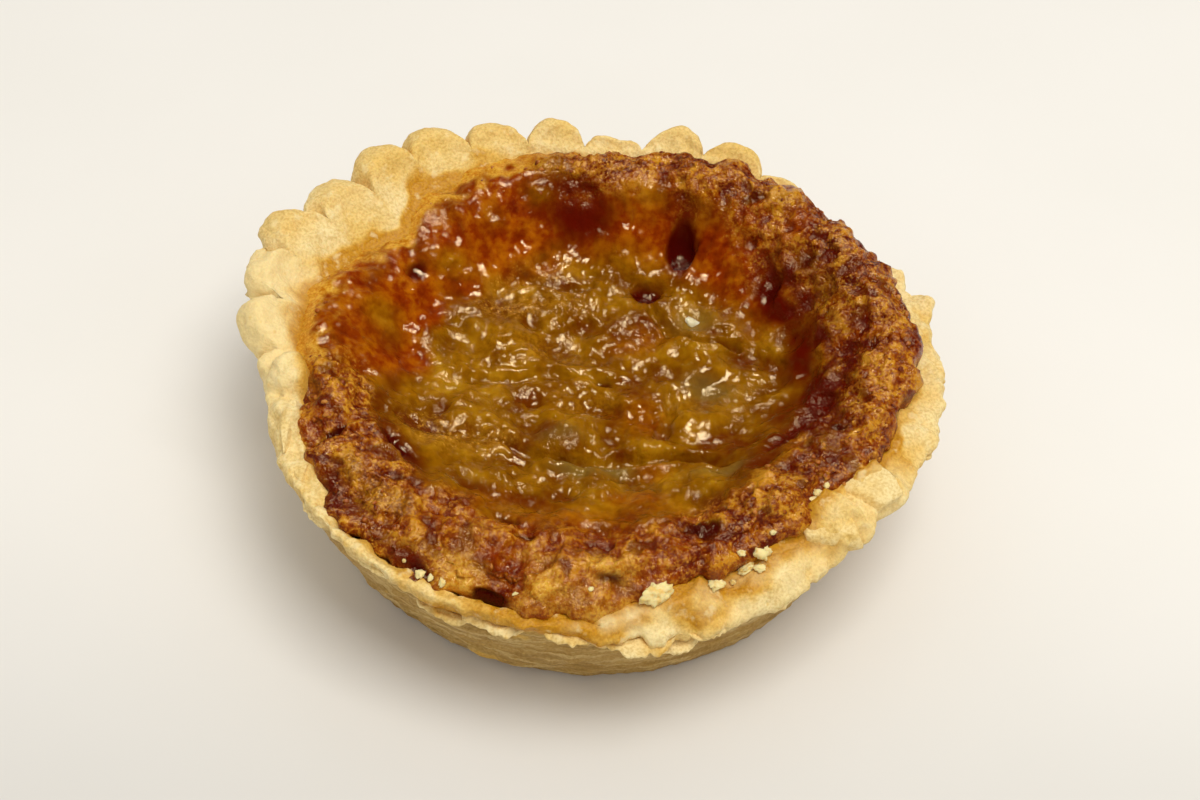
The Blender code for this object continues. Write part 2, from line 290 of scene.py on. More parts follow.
# soft spots on the filling: x, y, half length, half width, turn in degrees, strength
# clear deep red syrup in holes and cracks; in the first two spots, the holes at the back, it is also painted
# shade of their insides
POOLS_AND_HOLE_SHADE = (
    (9.5, 22.4, 2.9, 1.5, 84.0, 1.0),
    (5.4, 16.9, 1.8, 1.2, 20.0, 0.9),
    (12.9, -25.4, 2.4, 1.4, -8.0, 1.2),
    (27.9, -10.2, 1.8, 0.9, -60.0, 1.0),
    (-29.0, -16.2, 3.0, 0.6, 38.0, 1.1),
    (-21.9, -15.2, 4.0, 0.8, -40.0, 0.8),
    (-21.2, -21.2, 1.3, 0.7, 0.0, 0.8),
    (-22.9, 14.0, 1.6, 1.2, 60.0, 0.9),
    (20.8, 14.7, 1.4, 1.0, 60.0, 0.9),
    (25.0, 15.9, 1.4, 1.0, 0.0, 0.8),
    (27.3, 22.3, 1.3, 0.8, 0.0, 0.8),
    (32.0, 2.0, 1.2, 0.7, 60.0, 0.8),
    (17.7, 25.0, 1.8, 1.0, 0.0, 0.8),
    (-8.5, -24.4, 1.7, 0.6, -30.0, 0.8),
    (-6.6, -27.6, 1.5, 0.6, -20.0, 0.8),
    (-9.6, -35.9, 2.4, 1.1, -24.0, 1.3),
    (-17.6, -33.2, 2.0, 0.8, -30.0, 1.2),
    (3.0, -33.4, 1.8, 0.6, 0.0, 0.9),
    (0.9, 1.3, 1.2, 0.6, -20.0, 0.8),
)
# painted shade in deep brown: spots where the filling lies in shade, the holes at the back among them
DARK_SHADE_SPOTS = (
    (-3.4, 24.8, 5.6, 2.4, 4.0, 1.0),
    (9.5, 22.4, 3.1, 1.7, 84.0, 1.6),
    (5.4, 16.9, 2.2, 1.5, 20.0, 1.2),
    (24.4, 5.4, 5.2, 2.3, 84.0, 1.0),
    (22.4, -3.4, 4.6, 2.4, 62.0, 0.8),
    (19.6, -13.4, 3.6, 1.8, 45.0, 0.8),
    (16.6, -17.6, 3.0, 1.4, 35.0, 0.5),
    (-21.4, -16.0, 4.6, 1.7, -42.0, 0.9),
    (-13.2, -18.4, 4.6, 1.2, -16.0, 0.8),
    (-28.6, -22.2, 2.2, 1.3, -60.0, 0.9),
    (-25.6, -25.6, 2.2, 1.2, -50.0, 0.7),
    (-19.2, -31.6, 3.2, 1.3, -35.0, 0.9),
    (-22.2, -29.2, 2.0, 1.2, -40.0, 0.7),
    (27.2, 15.4, 1.8, 1.3, 0.0, 0.8),
    (23.6, 10.4, 2.2, 1.8, 60.0, 0.9),
    (30.4, 6.2, 1.8, 1.2, 60.0, 0.8),
    (-4.6, 27.6, 4.6, 1.2, 4.0, 0.7),
    (-24.8, 2.6, 2.6, 1.2, 80.0, 0.5),
    (-24.6, -6.6, 3.4, 1.2, 80.0, 0.6),
)
# orange glow of clear filling
GLOW_SPOTS = (
    (5.0, 8.3, 4.4, 2.4, 20.0, 0.45),
    (5.9, -4.4, 2.8, 3.6, 0.0, 0.5),
    (7.4, -13.4, 2.2, 1.5, 0.0, 0.5),
    (5.3, -18.8, 4.0, 1.6, 0.0, 0.6),
    (17.7, 17.6, 3.4, 3.2, 0.0, 0.9),
    (17.7, 23.2, 2.2, 1.8, 0.0, 0.9),
    (23.0, 20.0, 2.2, 1.6, 0.0, 0.9),
    (-29.2, 0.4, 4.6, 3.0, 90.0, 0.9),
    (-31.4, -14.8, 2.6, 1.2, 60.0, 0.8),
    (-8.6, -31.4, 4.2, 2.0, 0.0, 0.9),
    (-1.6, -35.0, 3.6, 1.6, 0.0, 0.8),
    (1.7, -27.6, 4.6, 2.6, 0.0, 0.6),
)
# golden patches
GOLD_SPOTS = (
    (-4.7, 13.5, 4.4, 2.2, 0.0, 0.8),
    (-10.0, 6.5, 5.0, 2.4, 10.0, 0.9),
    (-1.5, -1.8, 4.6, 3.0, 0.0, 0.8),
    (-15.5, 3.6, 3.6, 2.2, 0.0, 0.6),
    (11.4, -2.2, 4.2, 3.0, 0.0, 0.6),
    (-26.6, -20.9, 1.9, 1.5, -50.0, 1.0),
    (-23.7, -24.1, 2.4, 1.7, -45.0, 0.9),
    (-20.8, -24.9, 2.2, 1.6, -40.0, 0.8),
    (-15.8, -30.9, 3.2, 1.3, -20.0, 0.9),
    (-12.0, -32.4, 2.6, 1.3, -10.0, 0.8),
    (-7.5, -21.8, 3.4, 1.5, 0.0, 0.6),
    (-5.6, -16.1, 3.2, 1.4, 0.0, 0.6),
    (21.3, 24.4, 2.2, 1.3, 0.0, 0.7),
    (26.8, 11.6, 2.2, 1.5, 60.0, 0.7),
    (-8.0, 29.4, 3.4, 1.3, 0.0, 0.8),
)
# dry speckled patches
SPECKLED_SPOTS = (
    (-9.4, 17.2, 5.4, 2.2, 20.0, 1.0),
    (-11.6, 12.6, 4.6, 2.4, 10.0, 0.8),
    (-5.7, 5.6, 3.4, 1.6, 0.0, 0.5),
    (-18.7, -10.1, 4.2, 3.0, -30.0, 1.0),
    (-12.4, -10.0, 3.6, 2.6, 0.0, 0.8),
    (-27.3, -12.4, 2.4, 1.8, 0.0, 1.0),
    (-26.0, -17.6, 2.4, 1.6, 0.0, 0.8),
    (-0.5, 29.8, 5.2, 1.8, 0.0, 0.9),
    (8.0, 31.5, 5.0, 1.6, -10.0, 0.8),
    (27.8, 17.5, 4.0, 2.2, -50.0, 1.0),
    (33.4, 6.0, 5.4, 1.8, -80.0, 1.0),
    (33.0, -3.0, 4.4, 1.8, 80.0, 0.9),
    (26.4, -13.8, 3.4, 2.4, 50.0, 1.0),
    (21.2, -22.4, 3.6, 2.2, 30.0, 0.9),
    (6.1, -31.1, 4.0, 1.6, 0.0, 0.7),
)
# smooth glossy places
SMOOTH_SPOTS = (
    (11.6, 3.4, 4.4, 3.2, 0.0, 0.60),
    (-2.0, -9.8, 4.2, 2.4, 0.0, 0.55),
    (8.0, 10.6, 3.6, 1.6, 30.0, 0.60),
    (14.0, -6.6, 3.6, 2.4, 0.0, 0.55),
    (11.4, 12.4, 1.9, 1.9, 0.0, 0.60),
    (4.0, -20.0, 3.4, 1.6, 0.0, 0.50),
)
# grey-green clear patches
GREEN_SPOTS = (
    (-1.6, -13.9, 2.8, 1.3, 0.0, 0.9),
    (2.7, -13.4, 2.2, 1.2, 0.0, 1.0),
    (11.5, 12.3, 2.4, 2.2, 0.0, 0.8),
    (13.5, 1.2, 3.4, 1.8, -10.0, 0.8),
    (15.6, -13.8, 4.0, 1.0, 10.0, 0.8),
    (-3.8, -8.9, 3.0, 1.2, 0.0, 0.5),
)

# blocks of broken pastry in the rim: azimuth, reach, height, half length, half width, half height,
# turn and lean in degrees
CHUNKS = (
    (-39.5, 34.9, 19.5, 4.0, 3.3, 3.0, 16.0, 16.0),
    (-28.0, 35.9, 20.1, 3.8, 3.2, 3.0, -4.0, 14.0),
    (-158.0, 36.8, 20.6, 3.2, 0.9, 2.6, 60.0, 12.0),
    (-150.0, 37.4, 19.3, 2.8, 1.4, 1.7, 70.0, 12.0),
    (28.0, 38.8, 19.9, 1.5, 2.4, 1.7, 0.0, 12.0),
    (21.0, 39.4, 19.6, 1.5, 2.2, 1.5, 6.0, 12.0),
)
# loose pale crumbs: x, y, longest half size
CRUMB_PLACES = (
    (7.9, -33.6, 1.75),
    (14.6, -31.4, 0.95),
    (18.1, -28.9, 1.05),
    (19.2, -27.9, 0.95),
    (19.9, -26.9, 0.70),
    (17.2, -28.4, 0.50),
    (19.4, -29.2, 0.75),
    (16.6, -30.3, 0.40),
    (25.6, -19.6, 0.65),
    (26.6, -18.6, 0.4),
    (20.6, -25.6, 0.4),
    (-19.4, -31.6, 0.30),
    (-17.4, -33.4, 0.62),
    (-16.3, -33.8, 0.46),
    (-15.0, -34.4, 0.52),
    (-7.0, -35.6, 0.36),
    (1.0, -34.8, 0.34),
)
# thin torn flakes hugging the rim's edge: azimuth, place out of the edge, height over the edge,
# length round, width out, turn down in degrees, curl
FLAKE_SHEETS = (
    (-104, -0.5, -1.9, 7.4, 1.6, 12.0, 0.2),
    (-113, -0.5, -3.0, 6.4, 1.4, 14.0, 0.2),
    (-91, -0.3, -1.2, 6.4, 1.6, 16.0, 0.2),
    (-80, -0.1, -1.5, 8.4, 2.1, 22.0, 0.3),
    (-74, -0.5, -2.8, 6.4, 1.7, 12.0, 0.2),
    (-67, -0.2, -1.3, 6.4, 1.8, 18.0, 0.3),
    (-56, -0.4, -1.4, 6.0, 1.4, 12.0, 0.2),
    (-152, -0.4, -1.4, 4.0, 1.2, 20.0, 0.2),
    (-140, -0.3, -1.4, 5.0, 1.0, 30.0, 0.2),
    (-126, -0.3, -1.3, 5.6, 1.0, 30.0, 0.2),
    (4, -0.4, -1.4, 5.0, 1.2, 30.0, 0.2),
    (-12, -0.4, -1.6, 5.0, 1.2, 30.0, 0.2),
    (22, -0.4, -0.8, 5.0, 1.6, 10.0, 0.3),
    (165, -1.0, -2.6, 2.8, 1.4, 30.0, 0.4),
    (171, -1.0, -3.0, 2.4, 1.3, 40.0, 0.4),
)
FLAKE_GRID = (9, 64)
FLAKE_HOLD = 0.6
FLAKE_THIN = 0.10
FLAKE_BODY = 0.34
# the pale drop of syrup: x, y and half sizes
SYRUP_AT = (11.4, 12.6)
SYRUP_HALF = (0.95, 1.35, 0.55)
# syrup stains on the pastry: azimuth, height, half width round, half height, strength
STAINS = (
    (-113, 16.2, 2.4, 1.2, 1.0),
    (-103, 12.9, 2.8, 1.2, 1.0),
    (-108, 3.0, 2.6, 1.0, 0.7),
    (-122, 2.4, 1.8, 0.9, 0.5),
    (-77, 14.6, 2.6, 1.0, 0.8),
    (-86, 15.4, 3.4, 1.0, 0.7),
    (-69, 16.8, 3.8, 1.2, 0.8),
    (-96, 16.6, 2.4, 1.0, 0.6),
    (-61, 18.6, 3.4, 1.4, 0.8),
    (-44, 19.4, 3.0, 1.8, 0.9),
    (-20, 20.8, 3.4, 1.8, 0.9),
    (-4, 20.6, 2.6, 1.2, 0.5),
    (10, 20.4, 2.6, 1.4, 0.6),
    (179, 19.6, 2.0, 1.4, 0.6),
)

# the camera, from the view in the picture
VIEW_ELEVATION = 46.5
VIEW_ROLL = 4.0
VIEW_DISTANCE = 260.0
VIEW_TARGET = (1.49, 1.19, 12.0)
VIEW_LENS = 64.2
SENSOR_WIDTH = 36.0
# lamps over the table: name, place in metres, width, power, whether it only makes highlights
LAMPS = (
    ("key", (0.19, -0.13, 0.78), 0.46, 3.95, False),
    ("shine", (0.05, 0.10, 0.86), 0.24, 5.0, True),
    ("glint_right", (0.24, 0.16, 0.82), 0.07, 1.4, True),
    ("glint_left", (-0.22, 0.06, 0.86), 0.07, 1.1, True),
    ("glint_back", (-0.02, 0.46, 0.70), 0.05, 0.5, True),
)
LAMP_COLOUR = (1.0, 0.975, 0.94)
SKY_COLOUR = (1.0, 0.985, 0.955, 1.0)
SKY_STRENGTH = 0.585
TABLE_HALF = 3.0
# painted shade: the table's paint falls to this share of its brightness from one y to the other, in metres
TABLE_SHADE = 0.74
TABLE_SHADE_FROM = 0.01
TABLE_SHADE_TO = -0.085


class TartSizes(PropertyGroup):
    """Sizes and amounts of the tart's fine shapes"""

    columns_per_lobe: IntProperty(
        name="Columns per scallop", description="Mesh columns in each scallop", default=30, min=6
    )
    filling_rings: IntProperty(
        name="Filling rings", description="Rings of the filling's mesh from its middle out",
        default=140, min=20,
    )
    strata: FloatProperty(
        name="Wall layers", description="Depth of the flat layers in the side wall",
        default=0.00028, unit="LENGTH",
    )
    crumble: FloatProperty(
        name="Broken grain", description="Roughness of broken pastry", default=0.00042, unit="LENGTH",
    )
    crust: FloatProperty(
        name="Crust relief", description="Height of the sugared crust's crumb",
        default=0.00075, unit="LENGTH",
    )
    bubble: FloatProperty(
        name="Wet relief", description="Height of the small bubbles in the wet middle",
        default=0.00060, unit="LENGTH",
    )
    crust_bits: IntProperty(
        name="Crust bits", description="Loose grains of sugared crust", default=330, min=0
    )


def colour_property(name, description, value):
    return FloatVectorProperty(
        name=name, description=description, subtype="COLOR", size=3, min=0.0, max=1.0, default=value
    )


class TartColours(PropertyGroup):
    """Colours of the pastry, the filling and the table"""

    pastry: colour_property("Pastry", "Baked pastry on the rim", (0.84, 0.565, 0.160))
    pastry_pale: colour_property("Pale pastry", "Broken and floury pastry", (0.95, 0.77, 0.39))
    pastry_golden: colour_property("Golden pastry", "Browned tips", (0.82, 0.51, 0.105))
    # painted shade: the side wall's pastry, darkened to its shaded look
    pastry_wall_shade: colour_property("Wall", "Pastry of the side wall", (0.45, 0.270, 0.075))
    # painted shade in the grooves between the side wall's layers
    wall_layer_shade: colour_property("Wall layers", "Darker layers of the side wall", (0.27, 0.145, 0.030))
    soaked: colour_property("Soaked pastry", "Pastry stained by syrup", (0.60, 0.275, 0.010))
    amber: colour_property("Amber", "Clear filling at the edges", (0.265, 0.033, 0.0004))
    olive: colour_property("Wet middle", "Glossy filling in the middle", (0.215, 0.071, 0.0005))
    crust: colour_property("Crust", "Sugared crust", (0.335, 0.080, 0.0018))
    crust_tan: colour_property("Pale crust", "Dry tops of the crust", (0.64, 0.300, 0.030))
    # deep crust grains, and the colour of the painted shade on the filling
    crust_dark_and_shade: colour_property("Dark crust", "Deep parts of the crust", (0.105, 0.0040, 0.0003))
    gold: colour_property("Gold", "Golden patches of the filling", (0.44, 0.190, 0.006))
    green: colour_property("Green", "Grey-green clear patches", (0.24, 0.165, 0.030))
    # deep red syrup, and painted shade inside the holes at the back
    caramel_and_hole_shade: colour_property("Caramel", "Dark red syrup in hollows", (0.060, 0.0020, 0.0008))
    crumb: colour_property("Crumbs", "Loose pastry crumbs", (0.88, 0.71, 0.31))
    table: colour_property("Table", "Pale table", (0.88, 0.855, 0.80))


def sizes():
    return bpy.context.scene.tart_sizes


def colours():
    return bpy.context.scene.tart_colours


# reading the tables


def around(rows, column, azimuth):
    """One column of a table read at azimuths in degrees, eased between its rows."""
    at = [row[0] for row in rows]
    values = [row[column] for row in rows]
    grid = np.arange(720) * 0.5
    straight = np.interp(grid, at, values, period=360)
    window = np.hanning(2 * TABLE_EASE + 3)[1:-1]
    window = window / window.sum()
    wrapped = np.concatenate((straight[-TABLE_EASE:], straight, straight[:TABLE_EASE]))
    eased = np.convolve(wrapped, window, "valid")
    return np.interp(azimuth, grid, eased, period=360)


def smooth_step(value):
    value = np.clip(value, 0.0, 1.0)
    return value * value * (3.0 - 2.0 * value)


def turned(azimuth, centre):
    """Signed difference of azimuths in degrees."""
    return (azimuth - centre + 180.0) % 360.0 - 180.0


def sector(azimuth, centre, half_width, soft):
    """1 inside a sector of azimuths, easing to 0 outside it."""
    return smooth_step((half_width + soft - np.abs(turned(azimuth, centre))) / soft)


def ring(azimuth, reach, height):
    angle = np.radians(azimuth)
    return np.stack((reach * np.cos(angle), reach * np.sin(angle), reach * 0.0 + height), axis=1)


def polar(points):
    return np.degrees(np.arctan2(points[:, 1], points[:, 0])), np.hypot(points[:, 0], points[:, 1])


def rough(points, size, seed):
    """Gentle noise whose lumps are about size millimetres across, or three sizes along x, y and z."""
    scaled = points / np.asarray(size) + seed
    return np.array([noise.noise(Vector(point)) for point in scaled])


def grains(points, size, seed):
    """Rounded grains about size millimetres across: near 1 on a grain's top, low between grains."""
    scaled = points / size + seed
    return np.array([1.0 - noise.voronoi(Vector(point))[0][0] * 1.3 for point in scaled])


# making meshes


def add_object(name, data):
    obj = bpy.data.objects.new(name, data)
    bpy.context.scene.collection.objects.link(obj)
    return obj


def finished_piece(mesh, material, masks=None):
    """A smooth object from a mesh, with its material and its colour masks."""
    mesh.shade_smooth()
    for name, values in (masks or {}).items():
        layer = mesh.attributes.new(name, "FLOAT", "POINT")
        layer.data.foreach_set("value", np.asarray(values, np.float32))
    mesh.materials.append(material)
    return add_object(mesh.name, mesh)


def mesh_piece(name, points, faces, material, masks):
    """A new object from points in millimetres round the base's centre."""
    mesh = bpy.data.meshes.new(name)
    shifted = (np.asarray(points) + np.array((BASE_AT[0], BASE_AT[1], 0.0))) * MM
    mesh.from_pydata(shifted.tolist(), [], faces)
    return finished_piece(mesh, material, masks)


def push_out(points, faces, amounts):
    """Points moved along the surface's normals by amounts in millimetres."""
    mesh = bpy.data.meshes.new("scratch")
    mesh.from_pydata(np.asarray(points).tolist(), [], faces)
    normals = np.zeros(len(points) * 3, np.float32)
    mesh.vertex_normals.foreach_get("vector", normals)
    bpy.data.meshes.remove(mesh)
    return points + normals.reshape(-1, 3) * np.asarray(amounts)[:, None]


def ring_faces(ring_count, column_count):
    """Quads between rings that stand one after the other in the list of points."""
    faces = []
    for row in range(ring_count - 1):
        low = row * column_count
        high = low + column_count
        for column in range(column_count):
            after = (column + 1) % column_count
            faces.append((low + column, low + after, high + after, high + column))
    return faces


def disc_grid(rings):
    """A square grid turned into a disc: shares of the reach, azimuths, quads and the outer loop."""
    side = 2 * rings + 1
    step = (np.arange(side) - rings) / rings
    across, along = (part.ravel() for part in np.meshgrid(step, step))
    share = np.maximum(np.abs(across), np.abs(along))
    safe = np.where(share == 0.0, 1.0, share)
    quarter = 45.0
    near_x = np.abs(across) >= np.abs(along)
    turn_x = quarter * along / safe * np.where(across < 0, -1.0, 1.0) + np.where(across < 0, 180.0, 0.0)
    turn_y = 90.0 * np.sign(along) - quarter * across / safe * np.where(along < 0, -1.0, 1.0)
    azimuth = np.where(near_x, turn_x, turn_y)
    faces = []
    for row in range(side - 1):
        for column in range(side - 1):
            corner = row * side + column
            faces.append((corner, corner + 1, corner + side + 1, corner + side))
    bottom = list(range(side))
    right = [row * side + side - 1 for row in range(1, side)]
    top = [(side - 1) * side + column for column in range(side - 2, -1, -1)]
    left = [row * side for row in range(side - 2, 0, -1)]
    return share, azimuth, faces, bottom + right + top + left


# material nodes


def new_material(name):
    material = bpy.data.materials.new(name)
    material.use_nodes = True
    return material, material.node_tree, material.node_tree.nodes["Principled BSDF"]


def plug(tree, socket, value):
    """Links a socket to another, or sets its own value."""
    if isinstance(value, bpy.types.NodeSocket):
        tree.links.new(value, socket)
    elif hasattr(socket.default_value, "__len__") and len(socket.default_value) == 4:
        socket.default_value = (*tuple(value)[:3], 1.0)
    else:
        socket.default_value = value


def noise_field(tree, size, detail=3.0, stretch=(1.0, 1.0, 1.0), shift=0.0):
    """Noise texture whose cells are size millimetres across, on the object's own coordinates."""
    place = tree.nodes.new("ShaderNodeTexCoord")
    mapping = tree.nodes.new("ShaderNodeMapping")
    mapping.inputs["Location"].default_value = (shift, shift * 0.7, shift * 1.3)
    mapping.inputs["Scale"].default_value = stretch
    tree.links.new(place.outputs["Object"], mapping.inputs["Vector"])
    field = tree.nodes.new("ShaderNodeTexNoise")
    field.inputs["Scale"].default_value = 1.0 / (size * MM)
    field.inputs["Detail"].default_value = detail
    tree.links.new(mapping.outputs["Vector"], field.inputs["Vector"])
    return field.outputs["Fac"]


def cell_field(tree, size, shift):
    """Distance to the nearest of many scattered points, size millimetres apart."""
    place = tree.nodes.new("ShaderNodeTexCoord")
    mapping = tree.nodes.new("ShaderNodeMapping")
    mapping.inputs["Location"].default_value = (shift, shift, shift)
    tree.links.new(place.outputs["Object"], mapping.inputs["Vector"])
    field = tree.nodes.new("ShaderNodeTexVoronoi")
    field.inputs["Scale"].default_value = 1.0 / (size * MM)
    tree.links.new(mapping.outputs["Vector"], field.inputs["Vector"])
    return field.outputs["Distance"]


def ramp(tree, value, stops):
    """Colour ramp through (place, colour) stops."""
    field = tree.nodes.new("ShaderNodeValToRGB")
    elements = field.color_ramp.elements
    while len(elements) < len(stops):
        elements.new(0.5)
    for element, (place, colour) in zip(elements, stops):
        element.position = place
        element.color = (*tuple(colour)[:3], 1.0)
    tree.links.new(value, field.inputs["Fac"])
    return field.outputs["Color"]


def level(tree, value, low, high):
    """0 below low, 1 above high, smooth between."""
    field = tree.nodes.new("ShaderNodeMapRange")
    field.interpolation_type = "SMOOTHSTEP"
    field.inputs["From Min"].default_value = low
    field.inputs["From Max"].default_value = high
    tree.links.new(value, field.inputs["Value"])
    return field.outputs["Result"]


def maths(tree, operation, first, second):
    field = tree.nodes.new("ShaderNodeMath")
    field.operation = operation
    plug(tree, field.inputs[0], first)
    plug(tree, field.inputs[1], second)
    return field.outputs["Value"]


def times(tree, first, *others):
    """Product of fields and numbers."""
    for other in others:
        first = maths(tree, "MULTIPLY", first, other)
    return first


def weighted(tree, *parts):
    """Sum of (field, weight) parts."""
    total = None
    for field, weight in parts:
        part = times(tree, field, weight)
        total = part if total is None else maths(tree, "ADD", total, part)
    return total


def blend(tree, share, first, second, mode="MIX"):
    """Mixes two colours by a share from 0 to 1."""
    field = tree.nodes.new("ShaderNodeMix")
    field.data_type = "RGBA"
    field.blend_type = mode
    plug(tree, field.inputs["Factor"], share)
    plug(tree, field.inputs[6], first)
    plug(tree, field.inputs[7], second)
    return field.outputs[2]


def coats(tree, colour, *layers):
    """Lays (share, colour) layers over a colour, one after the other."""
    for share, coat in layers:
        colour = blend(tree, share, colour, coat)
    return colour


def mask(tree, name):
    field = tree.nodes.new("ShaderNodeAttribute")
    field.attribute_name = name
    return field.outputs["Fac"]


def bumps(tree, shader, layers):
    """Chains bump nodes: each layer is (height field, strength, distance in millimetres)."""
    normal = None
    for height, strength, distance in layers:
        bump = tree.nodes.new("ShaderNodeBump")
        plug(tree, bump.inputs["Height"], height)
        plug(tree, bump.inputs["Strength"], strength)
        bump.inputs["Distance"].default_value = distance * MM
        if normal is not None:
            tree.links.new(normal, bump.inputs["Normal"])
        normal = bump.outputs["Normal"]
    tree.links.new(normal, shader.inputs["Normal"])


def soft_inside(shader, weight, radius, scale):
    """Light that passes a little way through the food."""
    shader.inputs["Subsurface Weight"].default_value = weight
    shader.inputs["Subsurface Radius"].default_value = radius
    shader.inputs["Subsurface Scale"].default_value = scale * MM


def pastry_material(name, softness):
    tone = colours()
    material, tree, shader = new_material(name)
    broad = noise_field(tree, 7.0, 3.0)
    middle = noise_field(tree, 1.5, 4.0, shift=0.31)
    fine = noise_field(tree, 0.34, 3.0, shift=0.57)
    strata = noise_field(tree, 5.0, 5.0, (1.0, 1.0, 7.0), 0.11)
    wall = mask(tree, "wall")
    patchy = weighted(tree, (mask(tree, "soaked"), 1.0), (middle, 0.7))
    soaked = level(tree, patchy, 0.80, 1.30)
    colour = ramp(tree, broad, ((0.32, tone.pastry), (0.70, tone.pastry_pale)))
    colour = coats(
        tree, colour,
        # painted shade: golden in the pastry's hollows and in the creases between scallops
        (times(tree, mask(tree, "hollow"), 0.55), tone.pastry_golden),
        # painted shade: the side wall darkened
        (times(tree, wall, 0.85), tone.pastry_wall_shade),
        # painted shade in the grooves between the wall's layers and painted light on their ridges
        (times(tree, wall, level(tree, strata, 0.46, 0.38), 0.40), tone.wall_layer_shade),
        (times(tree, wall, level(tree, strata, 0.52, 0.60), 0.28), tone.pastry_pale),
        (times(tree, mask(tree, "broken"), level(tree, middle, 0.35, 0.65), 0.7), tone.pastry_pale),
        (times(tree, mask(tree, "browned"), level(tree, broad, 0.25, 0.75)), tone.pastry_golden),
        (level(tree, patchy, 0.50, 1.05), tone.pastry_golden),
        (soaked, tone.soaked),
    )
    grain = ramp(tree, fine, ((0.34, (0.80, 0.73, 0.60)), (0.60, (1.0, 1.0, 1.0))))
    colour = blend(tree, 1.0, colour, grain, "MULTIPLY")
    floury = times(tree, level(tree, middle, 0.56, 0.72), level(tree, wall, 1.0, 0.2), 0.55)
    pores = times(tree, level(tree, cell_field(tree, 1.7, 0.23), 0.16, 0.07), 0.30)
    colour = coats(
        tree, colour,
        (floury, tone.pastry_pale),
        # pale pastry on the rim and ledge, and painted light on the left of the side wall
        (times(tree, mask(tree, "fair"), 0.6), tone.pastry_pale),
        (pores, tone.pastry_golden),
    )
    tree.links.new(colour, shader.inputs["Base Color"])
    rough_level = ramp(tree, soaked, ((0.0, (0.68, 0.68, 0.68)), (1.0, (0.42, 0.42, 0.42))))
    tree.links.new(rough_level, shader.inputs["Roughness"])
    shader.inputs["Specular IOR Level"].default_value = 0.25
    shader.inputs["Specular Tint"].default_value = (1.0, 0.86, 0.60, 1.0)
    soft_inside(shader, softness, (1.0, 0.55, 0.25), 1.2)
    bumps(tree, shader, (
        (strata, times(tree, wall, 0.70), 0.6),
        (middle, 0.45, 0.45),
        (fine, 0.85, 0.16),
    ))
    return material


def wet_colour(tree, forms):
    """Olive brown of the wet middle, darker in its hollows and lighter on its tops: partly syrup settled in
    the hollows, partly painted shade and light.
    """
    return ramp(tree, forms, (
        (0.34, (0.140, 0.024, 0.0004)),
        (0.47, colours().olive),
        (0.58, (0.31, 0.122, 0.0012)),
        (0.70, (0.45, 0.21, 0.006)),
    ))


def glow_colour(tree, pooled):
    """Orange of the clear filling on the slopes."""
    return ramp(tree, pooled, (
        (0.34, (0.165, 0.012, 0.0003)),
        (0.48, colours().amber),
        (0.66, (0.46, 0.125, 0.0014)),
    ))


def crust_colour(tree, craggy):
    """Brown of the sugared crust, red in its cracks and golden on its tops; where these follow the relief
    they are painted shade and light.
    """
    return ramp(tree, craggy, (
        (0.43, (0.110, 0.0045, 0.0003)),
        (0.475, (0.225, 0.033, 0.0006)),
        (0.52, colours().crust),
        (0.57, (0.59, 0.245, 0.010)),
    ))


